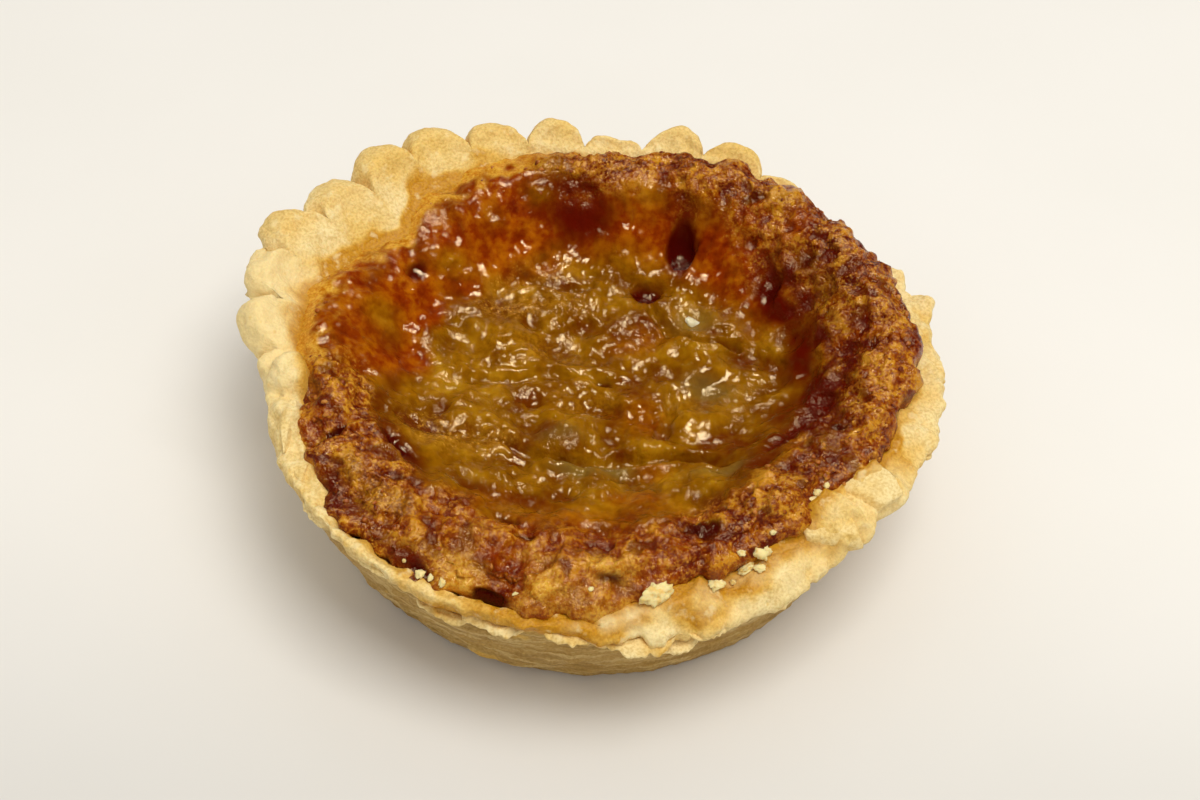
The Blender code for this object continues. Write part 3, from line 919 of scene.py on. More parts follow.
def filling_material():
    tone = colours()
    material, tree, shader = new_material("filling")
    lump = noise_field(tree, 2.6, 4.0)
    crumb = noise_field(tree, 0.95, 4.0, shift=0.41)
    fine = noise_field(tree, 0.34, 3.0, shift=0.77)
    cells = cell_field(tree, 0.46, 0.37)
    crusty, red, dark = mask(tree, "crusty"), mask(tree, "red"), mask(tree, "dark")
    glow, edge, speckled = mask(tree, "glow"), mask(tree, "edge"), mask(tree, "speckled")
    # painted light and shade: the relief's tops lighter and its hollows deeper in colour, partly syrup
    # settled there
    raised_shade = maths(tree, "SUBTRACT", mask(tree, "tops"), 0.5)
    mixed = weighted(tree, (crumb, 0.48), (fine, 0.52), (raised_shade, 0.10))
    pooled = weighted(tree, (lump, 0.6), (crumb, 0.4), (raised_shade, 0.14))
    forms = weighted(tree, (noise_field(tree, 5.0, 3.0, shift=0.53), 0.75), (crumb, 0.25), (raised_shade, 0.16))
    craggy = weighted(tree, (lump, 0.37), (mixed, 0.38), (forms, 0.25))

    grain = level(tree, cells, 0.42, 0.16)
    speckle = times(tree, level(tree, mixed, 0.46, 0.58), speckled, maths(tree, "ADD", 0.40, grain))
    speckle = times(tree, speckle, level(tree, dark, 0.8, 0.2))
    gold_colour = ramp(tree, mixed, ((0.38, tone.olive), (0.60, tone.gold)))
    edge_colour = ramp(tree, mixed, ((0.38, (0.50, 0.165, 0.004)), (0.60, (0.74, 0.40, 0.045))))
    colour = coats(
        tree, wet_colour(tree, forms),
        (crusty, crust_colour(tree, craggy)),
        (glow, glow_colour(tree, pooled)),
        (times(tree, mask(tree, "gold"), 0.7), gold_colour),
        (times(tree, mask(tree, "green"), 0.6), tone.green),
        # painted shade in deep brown
        (dark, tone.crust_dark_and_shade),
        (times(tree, speckle, 0.85), tone.crust_tan),
        (edge, edge_colour),
        # deep red syrup, and painted shade inside the holes at the back
        (level(tree, red, 0.10, 1.00), tone.caramel_and_hole_shade),
    )
    tree.links.new(colour, shader.inputs["Base Color"])

    dull = maths(tree, "MAXIMUM", crusty, times(tree, speckled, 0.8))
    dry = times(tree, dull, level(tree, red, 0.6, 0.2))
    glossy = level(tree, noise_field(tree, 0.9, 2.0, shift=0.93), 0.62, 0.50)
    spread = times(tree, dry, glossy, 0.20)
    tree.links.new(maths(tree, "ADD", 0.085, spread), shader.inputs["Roughness"])
    shader.inputs["Specular Tint"].default_value = (1.0, 0.82, 0.50, 1.0)
    soft_inside(shader, 0.14, (1.0, 0.25, 0.04), 0.9)
    wrinkled = level(tree, noise_field(tree, 6.0, 2.0, shift=0.67), 0.42, 0.60)
    wrinkles = maths(tree, "ADD", 0.09, times(tree, wrinkled, 0.50))
    wrinkles = times(tree, wrinkles, level(tree, edge, 1.0, 0.1), level(tree, glow, 1.5, 0.1))
    bumps(tree, shader, (
        (noise_field(tree, 1.2, 4.0, shift=0.15), wrinkles, 0.80),
        (cells, times(tree, speckle, -1.0), 0.24),
        (fine, maths(tree, "ADD", 0.20, times(tree, crusty, 0.75)), 0.20),
    ))
    return material


def crust_bit_material():
    tone = colours()
    material, tree, shader = new_material("crust_bits")
    mixed = noise_field(tree, 1.3, 4.0, shift=0.19)
    colour = ramp(tree, mixed, (
        (0.34, tone.crust_dark_and_shade), (0.48, tone.crust), (0.60, (0.50, 0.185, 0.028)), (0.74, tone.crust_tan),
    ))
    tree.links.new(colour, shader.inputs["Base Color"])
    shader.inputs["Roughness"].default_value = 0.42
    shader.inputs["Specular IOR Level"].default_value = 0.25
    soft_inside(shader, 0.25, (1.0, 0.35, 0.10), 0.8)
    bumps(tree, shader, ((noise_field(tree, 0.30, 3.0), 0.45, 0.15),))
    return material


def crumb_material():
    tone = colours()
    material, tree, shader = new_material("crumbs")
    field = noise_field(tree, 0.8, 4.0)
    pale = tuple(min(1.0, channel * 1.04) for channel in tone.crumb)
    tree.links.new(ramp(tree, field, ((0.35, tone.pastry), (0.5, tone.crumb), (0.7, pale))),
                   shader.inputs["Base Color"])
    shader.inputs["Roughness"].default_value = 0.75
    soft_inside(shader, 0.25, (1.0, 0.6, 0.3), 0.8)
    bumps(tree, shader, ((field, 0.5, 0.25), (noise_field(tree, 0.25, 2.0), 0.4, 0.10)))
    return material


def syrup_material():
    material, tree, shader = new_material("syrup")
    cloudy = ramp(tree, noise_field(tree, 1.6, 2.0), (
        (0.35, (0.62, 0.50, 0.26)), (0.65, (0.86, 0.78, 0.56)),
    ))
    tree.links.new(cloudy, shader.inputs["Base Color"])
    shader.inputs["Roughness"].default_value = 0.12
    soft_inside(shader, 0.5, (1.0, 0.8, 0.5), 1.0)
    return material


# the pastry shell


def wall_reach(azimuth, height):
    """Reach of the outside wall, which leans out and eases upright towards the top."""
    base = around(WALL_ROWS, 1, azimuth)
    top = around(WALL_ROWS, 2, azimuth)
    lean = WALL_LEAN * height - WALL_EASE * height ** 2
    full = WALL_LEAN * WALL_REFERENCE - WALL_EASE * WALL_REFERENCE ** 2
    return base + (top - base) * lean / full


def lump_rise(azimuth, reach):
    rise = np.zeros_like(reach)
    for lump_azimuth, lump_reach, half_round, half_across, height in RIM_LUMPS:
        along = np.radians(turned(azimuth, lump_azimuth)) * reach / half_round
        across = (reach - lump_reach) / half_across
        rise += height * np.sqrt(np.clip(1.0 - along ** 2 - across ** 2, 0.0, 1.0))
    return rise


def ridge_rise(azimuth, reach):
    """Chunks of broken pastry that climb gently to a ridge and drop on its other side."""
    rise = np.zeros_like(reach)
    for middle_azimuth, middle_reach, half_length, turn, height, gentle, steep in RIDGES:
        out = reach - middle_reach
        side = np.radians(turned(azimuth, middle_azimuth)) * reach
        angle = math.radians(turn)
        along = out * math.cos(angle) + side * math.sin(angle)
        past = side * math.cos(angle) - out * math.sin(angle)
        fall = np.where(past < 0.0, np.exp(-((past / gentle) ** 2)), np.exp(-((past / steep) ** 2)))
        rise += height * fall * smooth_step(1.25 * (1.0 - np.abs(along) / (half_length * 1.4)))
    return rise


class Rim:
    """The rim's outline and top, read from the tables at each mesh column."""

    def __init__(self, column_count):
        step = np.arange(column_count) * 360.0 / column_count
        self.azimuth = step + LOBE_WARP * np.sin(np.radians(step))
        phase = (step * LOBE_COUNT / 360.0 + 0.5) % 1.0
        self.arch = np.sqrt(np.clip(1.0 - (2.0 * phase - 1.0) ** 2, 0.0, 1.0))
        self.inner = around(RIM_ROWS, 4, self.azimuth)
        self.inner_height = around(RIM_ROWS, 5, self.azimuth)
        self.strength = around(RIM_ROWS, 3, self.azimuth)
        reach = around(RIM_ROWS, 1, self.azimuth)
        top = around(RIM_ROWS, 2, self.azimuth)
        for flake_azimuth, half_width, extra_reach, extra_height in FLAKES:
            share = smooth_step(1.0 - np.abs(turned(self.azimuth, flake_azimuth)) / half_width)
            reach = reach + extra_reach * share
            top = top + extra_height * share
        rim_line = ring(self.azimuth, reach, top)
        ragged = 0.5 + 0.9 * sector(self.azimuth, *RAGGED_FRONT)
        jag = ragged * (0.42 * rough(rim_line, 2.8, 3.3) + 0.28 * rough(rim_line, 1.0, 8.1))
        draw = random.Random(3)
        uneven = np.array([(draw.uniform(-0.5, 0.5), draw.uniform(-0.5, 0.4)) for lobe in range(LOBE_COUNT)])
        lobe = np.floor(step * LOBE_COUNT / 360.0 + 0.5).astype(int) % LOBE_COUNT
        reach = reach + uneven[lobe, 0] * self.arch * self.strength
        top = top + uneven[lobe, 1] * self.arch * self.strength
        self.reach = reach + jag * (1.0 - self.strength)
        self.top = top + 0.5 * rough(rim_line, 3.0, 5.5) * (1.0 - self.strength)
        self.width = self.reach - self.inner

    def point(self, step):
        """Reach and height at a share of the way from the outer edge to the inner edge."""
        groove = (1.0 - self.arch) * self.strength
        depth = np.minimum(LOBE_DEPTH, 0.55 * self.width)
        drop = EDGE_DROP * np.clip(self.width / 5.0, 0.3, 1.0)
        drop = drop * (0.45 + 0.55 * self.strength)
        fade = 1.0 - smooth_step(step / LOBE_FADE_SHARE)
        reach = self.inner + self.width * (1.0 - step) - depth * groove * fade
        slope = self.strength * smooth_step((step - 0.3) / 0.7) + (1.0 - self.strength) * step
        edge = max(0.0, 1.0 - step / EDGE_ROUND_SHARE)
        fall = drop * (1.0 - math.sqrt(1.0 - edge * edge))
        height = self.top + (self.inner_height - self.top) * slope - fall - LOBE_RISE * groove * fade
        crease = self.strength * np.exp(-((self.arch / CREASE_WIDTH) ** 2)) * (1.0 - smooth_step(step / 0.8))
        reach = reach - CREASE_IN * crease
        dip = math.exp(-(((step - LOBE_DIP_SHARE) / LOBE_DIP_WIDTH) ** 2))
        height = height - CREASE_DOWN * crease - LOBE_DIP * self.strength * self.arch * dip
        share = smooth_step(step / 0.1)
        height = height + share * (lump_rise(self.azimuth, reach) + ridge_rise(self.azimuth, reach))
        return reach, height


def neck_ring(azimuth, share, reaches, heights):
    """A ring on the curve from the wall's neck to the rim's edge, pulled by the two places between."""
    back = 1.0 - share
    weights = (back ** 3, 3.0 * back * back * share, 3.0 * back * share * share, share ** 3)
    reach = sum(weight * value for weight, value in zip(weights, reaches))
    height = sum(weight * value for weight, value in zip(weights, heights))
    return ring(azimuth, reach, height)


def shell_rings(rim):
    """Rings from the base's edge up the wall and over the rim, each with its wall mask."""
    azimuth = rim.azimuth
    base = around(WALL_ROWS, 1, azimuth)
    rings = [(ring(azimuth, base - BASE_RING_IN, 0.0), 1.0)]
    for turn in np.linspace(0.0, 90.0, FOOT_RINGS):
        out = BASE_CORNER * math.sin(math.radians(turn))
        up = BASE_ROUND - BASE_ROUND * math.cos(math.radians(turn))
        rings.append((ring(azimuth, base - BASE_CORNER_IN + out, up), 1.0))
    edge_reach, edge_height = rim.point(0.0)
    neck_height = edge_height - NECK_DROP
    for share in np.linspace(0.0, 1.0, WALL_RINGS)[1:]:
        height = BASE_ROUND + (neck_height - BASE_ROUND) * share
        rings.append((ring(azimuth, wall_reach(azimuth, height), height), 1.0))
    bend_height = neck_height + NECK_BEND
    reaches = (wall_reach(azimuth, neck_height), wall_reach(azimuth, bend_height), edge_reach, edge_reach)
    heights = (neck_height, bend_height, edge_height - EDGE_BEND, edge_height)
    for share in np.linspace(0.0, 1.0, NECK_RINGS)[1:-1]:
        rings.append((neck_ring(azimuth, share, reaches, heights), 1.0 - share))
    for share in np.linspace(0.0, 1.0, RIM_RINGS):
        reach, height = rim.point(float(share) ** RIM_CROWDING)
        rings.append((ring(azimuth, reach, height), 0.0))
    step_in, step_down = INSIDE_STEP
    rings.append((ring(azimuth, rim.inner - step_in, rim.inner_height - step_down), 0.0))
    rings.append((ring(azimuth, np.full_like(rim.inner, FLOOR_REACH), FLOOR_HEIGHT), 0.0))
    return rings


def pastry_relief(points, wall, broken):
    """How far the pastry's surface stands out, in millimetres."""
    layers = rough(points, (13.0, 13.0, 1.5), 2.2) + 0.5 * rough(points, (5.0, 5.0, 0.7), 9.4)
    strata = sizes().strata / MM * np.tanh(2.6 * layers)
    crumble = sizes().crumble / MM
    handmade = 0.50 * rough(points, 9.0, 1.1) + 0.24 * rough(points, 3.4, 4.0)
    handmade += 0.12 - 0.42 * np.abs(rough(points, 2.6, 31.0))
    sandy = 0.14 * rough(points, 1.4, 6.0) + 0.09 * rough(points, 0.65, 2.5)
    break_grain = 0.8 * rough(points, 1.9, 7.0) + 0.45 * rough(points, 0.85, 2.9)
    facets = 0.6 - 2.4 * np.abs(rough(points, 5.0, 11.0))
    walled = wall * (strata + 0.14 * rough(points, 1.6, 3.7))
    return walled + handmade + sandy + broken * crumble * (break_grain + facets)


def stain_share(azimuth, reach, height):
    share = np.zeros_like(reach)
    for stain_azimuth, stain_height, half_round, half_height, strength in STAINS:
        along = np.radians(turned(azimuth, stain_azimuth)) * reach / half_round
        up = (height - stain_height) / half_height
        share = np.maximum(share, strength * np.exp(-(along ** 2 + up ** 2)))
    return share


def shell_mesh(rim):
    """Points, faces, wall mask and scallop arch of the smooth shell, closed under its base and its floor."""
    rings = shell_rings(rim)
    column_count = len(rim.azimuth)
    middles = np.array(((0, 0, 0.0), (0, 0, FLOOR_HEIGHT)))
    points = np.concatenate([line for line, wall in rings] + [middles])
    wall = np.concatenate([np.full(column_count, share) for line, share in rings] + [np.zeros(2)])
    arch = np.concatenate((np.tile(rim.arch, len(rings)), np.ones(2)))
    faces = ring_faces(len(rings), column_count)
    under, over = len(points) - 2, len(points) - 1
    last = (len(rings) - 1) * column_count
    for column in range(column_count):
        after = (column + 1) % column_count
        faces.append((under, after, column))
        faces.append((over, last + column, last + after))
    return points, faces, wall, arch


def shell_masks(points, azimuth, reach, wall, broken, relief, arch):
    """Where the pastry is broken, pale, lit by painted light, soaked with syrup, browned, or given painted
    shade in its hollows and creases, from 0 to 1.
    """
    height = points[:, 2]
    inner = around(RIM_ROWS, 4, azimuth)
    strength = around(RIM_ROWS, 3, azimuth)
    top = 1.0 - wall
    left = sector(azimuth, *SOAKED_LEFT)
    front = sector(azimuth, *BROKEN_FRONT)
    lip = sector(azimuth, *FRONT_LIP)
    soak_width = 1.9 + 1.9 * left + 1.3 * front + 2.2 * lip + 3.0 * rough(points, 2.6, 9.0)
    into = smooth_step(1.0 - (reach - inner) / np.maximum(soak_width, 0.6)) * top
    soaked = into * (0.60 + 0.5 * rough(points, 5.0, 2.0) + 0.75 * left + 0.30 * front + 0.25 * lip)
    ledge = np.clip(sector(azimuth, *PALE_LEDGE) + 0.5 * sector(azimuth, *PALE_CORNER), 0.0, 1.0)
    ledge *= smooth_step((reach - inner - 0.5) / 1.4) * np.clip(0.6 + 1.4 * rough(points, 2.2, 5.0), 0.0, 1.0)
    # pale pastry on the left rim and the front ledge, and painted light on the left side wall
    fair = sector(azimuth, *PALE_RIM) * top * (1.0 - into) + 0.45 * sector(azimuth, *PAINTED_LIGHT_WALL) * wall
    tips = smooth_step((height - around(RIM_ROWS, 2, azimuth) + 2.4) / 2.0) * strength * (1.0 - into)
    creases = strength * top * np.exp(-((arch / 0.45) ** 2))
    return {
        "wall": wall,
        "broken": broken * (1.0 - 0.55 * front),
        "fair": fair + ledge * top,
        "soaked": np.clip(soaked + 0.9 * stain_share(azimuth, reach, height), 0.0, 1.0),
        "browned": np.clip(tips * (0.45 + 0.5 * rough(points, 6.0, 3.0)), 0.0, 0.7),
        # painted shade in the hollows and in the creases between scallops
        "hollow": np.clip(0.15 - 1.5 * relief + 0.6 * creases, 0.0, 1.0),
    }


def build_shell():
    points, faces, wall, arch = shell_mesh(Rim(LOBE_COUNT * sizes().columns_per_lobe))
    azimuth, reach = polar(points)
    strength = around(RIM_ROWS, 3, azimuth)
    crumbly = np.maximum(sector(azimuth, *CRUMBLY_LEFT), sector(azimuth, *CRUMBLY_RIGHT))
    crumbly *= smooth_step((points[:, 2] - CRUMBLY_FROM) / CRUMBLY_SOFT)
    broken = np.clip((1.0 - strength) * (1.0 - wall) + 0.8 * crumbly, 0.0, 1.0)
    relief = pastry_relief(points, wall, broken)
    stands = smooth_step(points[:, 2] / FOOT_FADE)
    near_filling = smooth_step((around(RIM_ROWS, 4, azimuth) + SMOOTH_WIDTH - reach) / SMOOTH_WIDTH)
    stands *= 1.0 - 0.7 * sector(azimuth, *SOAKED_LEFT) * near_filling
    points = push_out(points, faces, relief * stands)
    points[:, 2] = np.maximum(points[:, 2], 0.0)
    masks = shell_masks(points, azimuth, reach, wall, broken, relief, arch)
    return mesh_piece("tart_shell", points, faces, pastry_material("pastry", 0.12), masks)


# the filling


def crater_reach(azimuth):
    """Reach of the sunken middle's edge from the base's centre."""
    angle = np.radians(azimuth)
    ray_x = np.cos(angle) / CRATER_HALF[0]
    ray_y = np.sin(angle) / CRATER_HALF[1]
    start_x = -CRATER_CENTRE[0] / CRATER_HALF[0]
    start_y = -CRATER_CENTRE[1] / CRATER_HALF[1]
    a = ray_x ** 2 + ray_y ** 2
    b = start_x * ray_x + start_y * ray_y
    c = start_x ** 2 + start_y ** 2 - 1.0
    return (-b + np.sqrt(b * b - a * c)) / a


def filling_height(azimuth, reach):
    """Height of the filling's top: crater, inner slope, crest, then down to its edge."""
    edge = around(RIM_ROWS, 4, azimuth)
    edge_height = around(CREST_ROWS, 1, azimuth)
    crest = around(CREST_ROWS, 2, azimuth)
    crest_height = around(CREST_ROWS, 3, azimuth)
    floor_edge = crater_reach(azimuth)
    floor = CRATER_HEIGHT + CRATER_BOWL * np.clip(reach / floor_edge, 0.0, 1.0) ** 2
    climb = smooth_step((reach - floor_edge) / (crest - floor_edge))
    fall = smooth_step((reach - crest) / (edge - crest))
    height = floor + (crest_height - CRATER_HEIGHT - CRATER_BOWL) * climb
    height = height + (edge_height - crest_height) * fall
    x = reach * np.cos(np.radians(azimuth))
    y = reach * np.sin(np.radians(azimuth))
    for hollow_x, hollow_y, half_width, depth in HOLLOWS:
        away = ((x - hollow_x) ** 2 + (y - hollow_y) ** 2) / half_width ** 2
        height = height - depth * np.exp(-away)
    lumps = np.zeros_like(height)
    for weight, scale, slice_at in ((0.75, 0.17, 3.1), (0.45, 0.36, 7.7), (0.30, 0.75, 1.3)):
        field = [noise.noise(Vector((px * scale, py * scale, slice_at))) for px, py in zip(x, y)]
        lumps += weight * np.array(field)
    return height + lumps * 1.1 * np.clip((edge - reach) / 1.5, 0.0, 1.0)


def away_from_line(x, y, line):
    """Distance to a line through points, and the side: above zero to its left."""
    nearest = np.full_like(x, 1e9)
    side = np.zeros_like(x)
    for (x0, y0), (x1, y1) in zip(line, line[1:]):
        length = math.hypot(x1 - x0, y1 - y0)
        step_x, step_y = (x1 - x0) / length, (y1 - y0) / length
        along = np.clip((x - x0) * step_x + (y - y0) * step_y, 0.0, length)
        gap_x, gap_y = x - x0 - along * step_x, y - y0 - along * step_y
        gap = np.hypot(gap_x, gap_y)
        closer = gap < nearest
        nearest = np.where(closer, gap, nearest)
        side = np.where(closer, step_x * gap_y - step_y * gap_x, side)
    return nearest, side


def spot_share(rows, x, y):
    """How much of each place lies in one of the rows' soft oval spots."""
    share = np.zeros_like(x)
    for spot_x, spot_y, half_length, half_width, turn, strength in rows:
        angle = math.radians(turn)
        along = (x - spot_x) * math.cos(angle) + (y - spot_y) * math.sin(angle)
        across = (y - spot_y) * math.cos(angle) - (x - spot_x) * math.sin(angle)
        away = (along / half_length) ** 2 + (across / half_width) ** 2
        share = np.maximum(share, strength * np.exp(-(away ** 1.5)))
    return share


def band(value, middle, half_width):
    """1 at the middle of a band, 0 outside its half width."""
    return smooth_step(1.0 - np.abs(value - middle) / half_width)


def bubble_rise(x, y):
    rise = np.zeros_like(x)
    for bubble_x, bubble_y, radius, height in BUBBLES:
        away = np.clip(((x - bubble_x) ** 2 + (y - bubble_y) ** 2) / radius ** 2, 0.0, 1.0)
        rise += height * (1.0 - away) ** 1.5
    for line, width, depth in FOLDS:
        gap, side = away_from_line(x, y, line)
        rise -= depth * np.exp(-((gap / width) ** 2))
        lip = np.where(side < 0.0, 0.7, 0.25)
        rise += lip * depth * np.exp(-(((gap - 1.7 * width) / width) ** 2))
    return rise


def crust_relief(points, reach, crest):
    """How far the sugared crust stands out, in millimetres, worn smoother past its crest."""
    worn = 1.0 - 0.6 * smooth_step((reach - crest) / 2.0)
    lumps = 0.80 * rough(points, 4.2, 1.0) + 0.10 * (grains(points, 1.7, 3.0) - 0.45)
    lumps += 0.15 - 0.7 * np.abs(rough(points, 2.6, 17.0))
    lumps += worn * (0.20 * rough(points, 1.3, 2.0) + 0.24 * rough(points, 0.62, 6.0))
    return sizes().crust / MM * lumps * 1.7


def wet_relief(points):
    """How far the wet middle's ripples and dimples stand out, in millimetres."""
    smoothness = 0.25 + 1.15 * smooth_step(0.5 + 1.9 * rough(points, 6.0, 15.0))
    ripples = 0.9 * rough(points, 3.6, 5.1) + 0.35 - 1.3 * np.abs(rough(points, (5.4, 3.8, 4.0), 19.0))
    dimples = smoothness * (0.26 * rough(points, 1.3, 6.1) + 0.22 * rough(points, 0.62, 27.0))
    return sizes().bubble / MM * (ripples + dimples)


def filling_surface(points, azimuth, reach, edge):
    """The filling's colour masks and how far its surface stands out, in millimetres."""
    x, y = points[:, 0], points[:, 1]
    crest = around(CREST_ROWS, 2, azimuth)
    floor_edge = crater_reach(azimuth)
    patch = rough(points, 4.6, 4.4)
    spread = rough(points, 1.8, 8.8)
    smooth_left = sector(azimuth, *SMOOTH_LEFT)
    slope_middle = floor_edge * 0.45 + crest * 0.55 - 3.6 * sector(azimuth, *WIDE_CRUST)
    crusty = smooth_step((reach - slope_middle + 2.0 * patch + spread) / 3.5)
    clear_left = sector(azimuth, *CLEAR_LEFT) * smooth_step((reach - SLOPE_FROM + 2.4 * patch) / 4.0)
    back_wall = sector(azimuth, *BACK_SLOPE) * band(reach, *BACK_BAND)
    # painted shade on the right slope
    right_slope_shade = sector(azimuth, *RIGHT_SLOPE) * band(reach, *RIGHT_BAND)
    front = sector(azimuth, *FRONT_SLOPE) * smooth_step((reach - SLOPE_FROM) / 4.0)
    glow = np.maximum(clear_left, np.maximum(1.1 * back_wall, 0.45 * front))
    glow = np.maximum(glow * (0.85 + 0.9 * patch), spot_share(GLOW_SPOTS, x, y))
    edge_gold = smooth_left * smooth_step((reach - edge + 3.0 + 3.4 * spread) / 2.4)
    front_gold = sector(azimuth, *FRONT_GOLD) * smooth_step((reach - FRONT_GOLD_FROM + 3.0 * spread) / 3.0)
    edge_gold = np.maximum(edge_gold, front_gold * (0.35 + 1.2 * patch))
    # painted shade in the crust's pitted places, the spots in shade and the right slope
    pit_shade = smooth_step((rough(points, 2.4, 12.0) - 0.27) / 0.12) * crusty * (1.0 - clear_left)
    dark = np.maximum(spot_share(DARK_SHADE_SPOTS, x, y), right_slope_shade * (0.75 + 1.5 * patch + 0.8 * spread))
    dark = np.maximum(dark, 0.75 * pit_shade)
    # syrup in holes and cracks, and painted shade inside the holes at the back
    pools_and_hole_shade = spot_share(POOLS_AND_HOLE_SHADE, x, y)
    speckled = np.maximum(spot_share(SPECKLED_SPOTS, x, y), crusty * (0.55 + 0.9 * patch))
    crusty *= 1.0 - 0.8 * clear_left

    wet = wet_relief(points) * (1.0 - spot_share(SMOOTH_SPOTS, x, y))
    wet *= 1.0 - 0.45 * np.clip(glow, 0.0, 1.0)
    calm = 1.0 - 0.75 * smooth_left * (1.0 - smooth_step((edge + 0.4 - reach) / 2.5))
    along_slope = np.stack((azimuth * 0.45, reach * 0.22, azimuth * 0.0), axis=1)
    streaks = 0.32 * rough(along_slope, 1.1, 2.0) * back_wall
    relief = (crust_relief(points, reach, crest) * crusty + wet * (1.0 - crusty)) * calm + streaks
    masks = {
        "crusty": crusty,
        "glow": glow * (1.0 - 0.6 * edge_gold),
        "gold": spot_share(GOLD_SPOTS, x, y),
        "edge": edge_gold,
        "green": spot_share(GREEN_SPOTS, x, y),
        "dark": dark * (1.0 - edge_gold),
        "speckled": speckled * (1.0 - 0.8 * clear_left),
        "red": pools_and_hole_shade,
        # painted light and shade: the relief's height, lighter colour on its tops and deeper in its hollows
        "tops": 0.5 + relief / (1.5 * crusty + 0.9 * (1.0 - crusty)),
    }
    relief -= 0.6 * np.minimum(pools_and_hole_shade, 1.2) + 0.25 * dark
    return {name: np.clip(values, 0.0, 1.0) for name, values in masks.items()}, relief


def filling_top():
    """Points, faces and outer loop of the filling's top, with its ragged edge, bubbles and folds."""
    share, azimuth, faces, loop = disc_grid(sizes().filling_rings)
    edge = around(RIM_ROWS, 4, azimuth)
    reach = share * edge
    points = ring(azimuth, reach, filling_height(azimuth, reach))
    smooth_left = sector(azimuth, *SMOOTH_LEFT)
    front_left = sector(azimuth, *FRONT_LEFT)
    points[:, 2] -= EDGE_SUNK * smooth_left * smooth_step((reach - edge + 4.0) / 4.0)
    ragged = (0.9 * rough(points, 3.6, 21.0) + 0.55 * rough(points, 1.5, 22.0)) * (1.0 + 0.6 * front_left)
    ragged += 1.2 * smooth_left - 0.5 * front_left
    stretch = ragged * smooth_step((reach - edge + 5.0) / 5.0) / np.maximum(reach, 1.0)
    points[:, :2] *= 1.0 + stretch[:, None]
    inside = smooth_step((crater_reach(azimuth) + 3.0 - reach) / 4.0)
    points[:, 2] += bubble_rise(points[:, 0], points[:, 1]) * np.clip(inside + 0.6, 0.0, 1.0)
    return points, faces, loop, azimuth[loop]


def build_filling():
    points, faces, loop, loop_azimuth = filling_top()
    start = len(points)
    count = len(loop)
    loop_edge = np.hypot(points[loop, 0], points[loop, 1])
    loop_height = points[loop, 2]
    low = around(RIM_ROWS, 5, loop_azimuth)
    skirts = [ring(loop_azimuth, loop_edge + out, loop_height - down) for out, down in EDGE_STEPS]
    skirts += [ring(loop_azimuth, loop_edge + out, low - down) for out, down in SIDE_STEPS]
    skirts.append(ring(loop_azimuth, np.full_like(loop_edge, FOOT_REACH), FOOT_HEIGHT))
    points = np.concatenate([points] + skirts)
    rows = [list(loop)]
    rows += [list(range(start + row * count, start + (row + 1) * count)) for row in range(len(skirts))]
    for upper, lower in zip(rows, rows[1:]):
        for index in range(count):
            after = (index + 1) % count
            faces.append((upper[index], lower[index], lower[after], upper[after]))
    faces.append(tuple(reversed(rows[-1])))

    azimuth, reach = polar(points)
    masks, relief = filling_surface(points, azimuth, reach, around(RIM_ROWS, 4, azimuth))
    relief[start + len(EDGE_STEPS) * count:] = 0.0
    points = push_out(points, faces, relief)
    points[:, 2] -= CREST_PRESS * np.maximum(points[:, 2] - CREST_EASE, 0.0)
    return mesh_piece("tart_filling", points, faces, filling_material(), masks)


# loose pieces


def surface_tree(*names):
    """One tree of every surface named, for dropping things on it."""
    vertices = []
    polygons = []
    for name in names:
        mesh = bpy.data.objects[name].data
        start = len(vertices)
        vertices.extend(vertex.co.copy() for vertex in mesh.vertices)
        polygons.extend([index + start for index in polygon.vertices] for polygon in mesh.polygons)
    return BVHTree.FromPolygons(vertices, polygons)


def drop_to(tree, x, y):
    """Point and normal of the surface under a place given in millimetres round the base's centre."""
    above = Vector(((x + BASE_AT[0]) * MM, (y + BASE_AT[1]) * MM, 0.05))
    place, normal, index, gap = tree.ray_cast(above, Vector((0.0, 0.0, -1.0)))
    return place, normal


def add_block(builder, place, frame_of, half_sizes, seed, subdivisions, jag, corner=9.0, sides=13, cuts=()):
    """A broken block: a ball cut by scattered and given planes, roughened, and turned by a 3x3 matrix."""
    made = bmesh.ops.create_icosphere(builder, subdivisions=subdivisions, radius=1.0)
    draw = random.Random(seed)
    planes = [(Vector(side).normalized(), gap) for side, gap in cuts]
    for number in range(sides):
        upright = 1.0 - 2.0 * (number + 0.5) / sides
        turn = number * 2.4 + draw.uniform(-0.5, 0.5)
        level_share = math.sqrt(1.0 - upright * upright)
        side = Vector((level_share * math.cos(turn), level_share * math.sin(turn), upright))
        planes.append((side, draw.uniform(0.68, 1.0)))
    shift = Vector((draw.uniform(0, 50), draw.uniform(0, 50), draw.uniform(0, 50)))
    for vertex in made["verts"]:
        ray = vertex.co.normalized()
        pressed = sum((max(0.0, ray.dot(side)) / gap) ** corner for side, gap in planes)
        reach = pressed ** (-1.0 / corner)
        reach *= 1.0 + jag * noise.noise(ray * 2.2 + shift) + 0.6 * jag * noise.noise(ray * 5.5 + shift)
        shape = Vector([value * half * reach for value, half in zip(ray, half_sizes)])
        vertex.co = place + frame_of @ shape * MM


def resting(normal, turn):
    """Frame that stands on a surface, turned about its normal."""
    return normal.to_track_quat("Z", "Y").to_matrix() @ Matrix.Rotation(turn, 3, "Z")


def lump_piece(name, builder, material, masks=None):
    mesh = bpy.data.meshes.new(name)
    builder.to_mesh(mesh)
    builder.free()
    return finished_piece(mesh, material, masks)


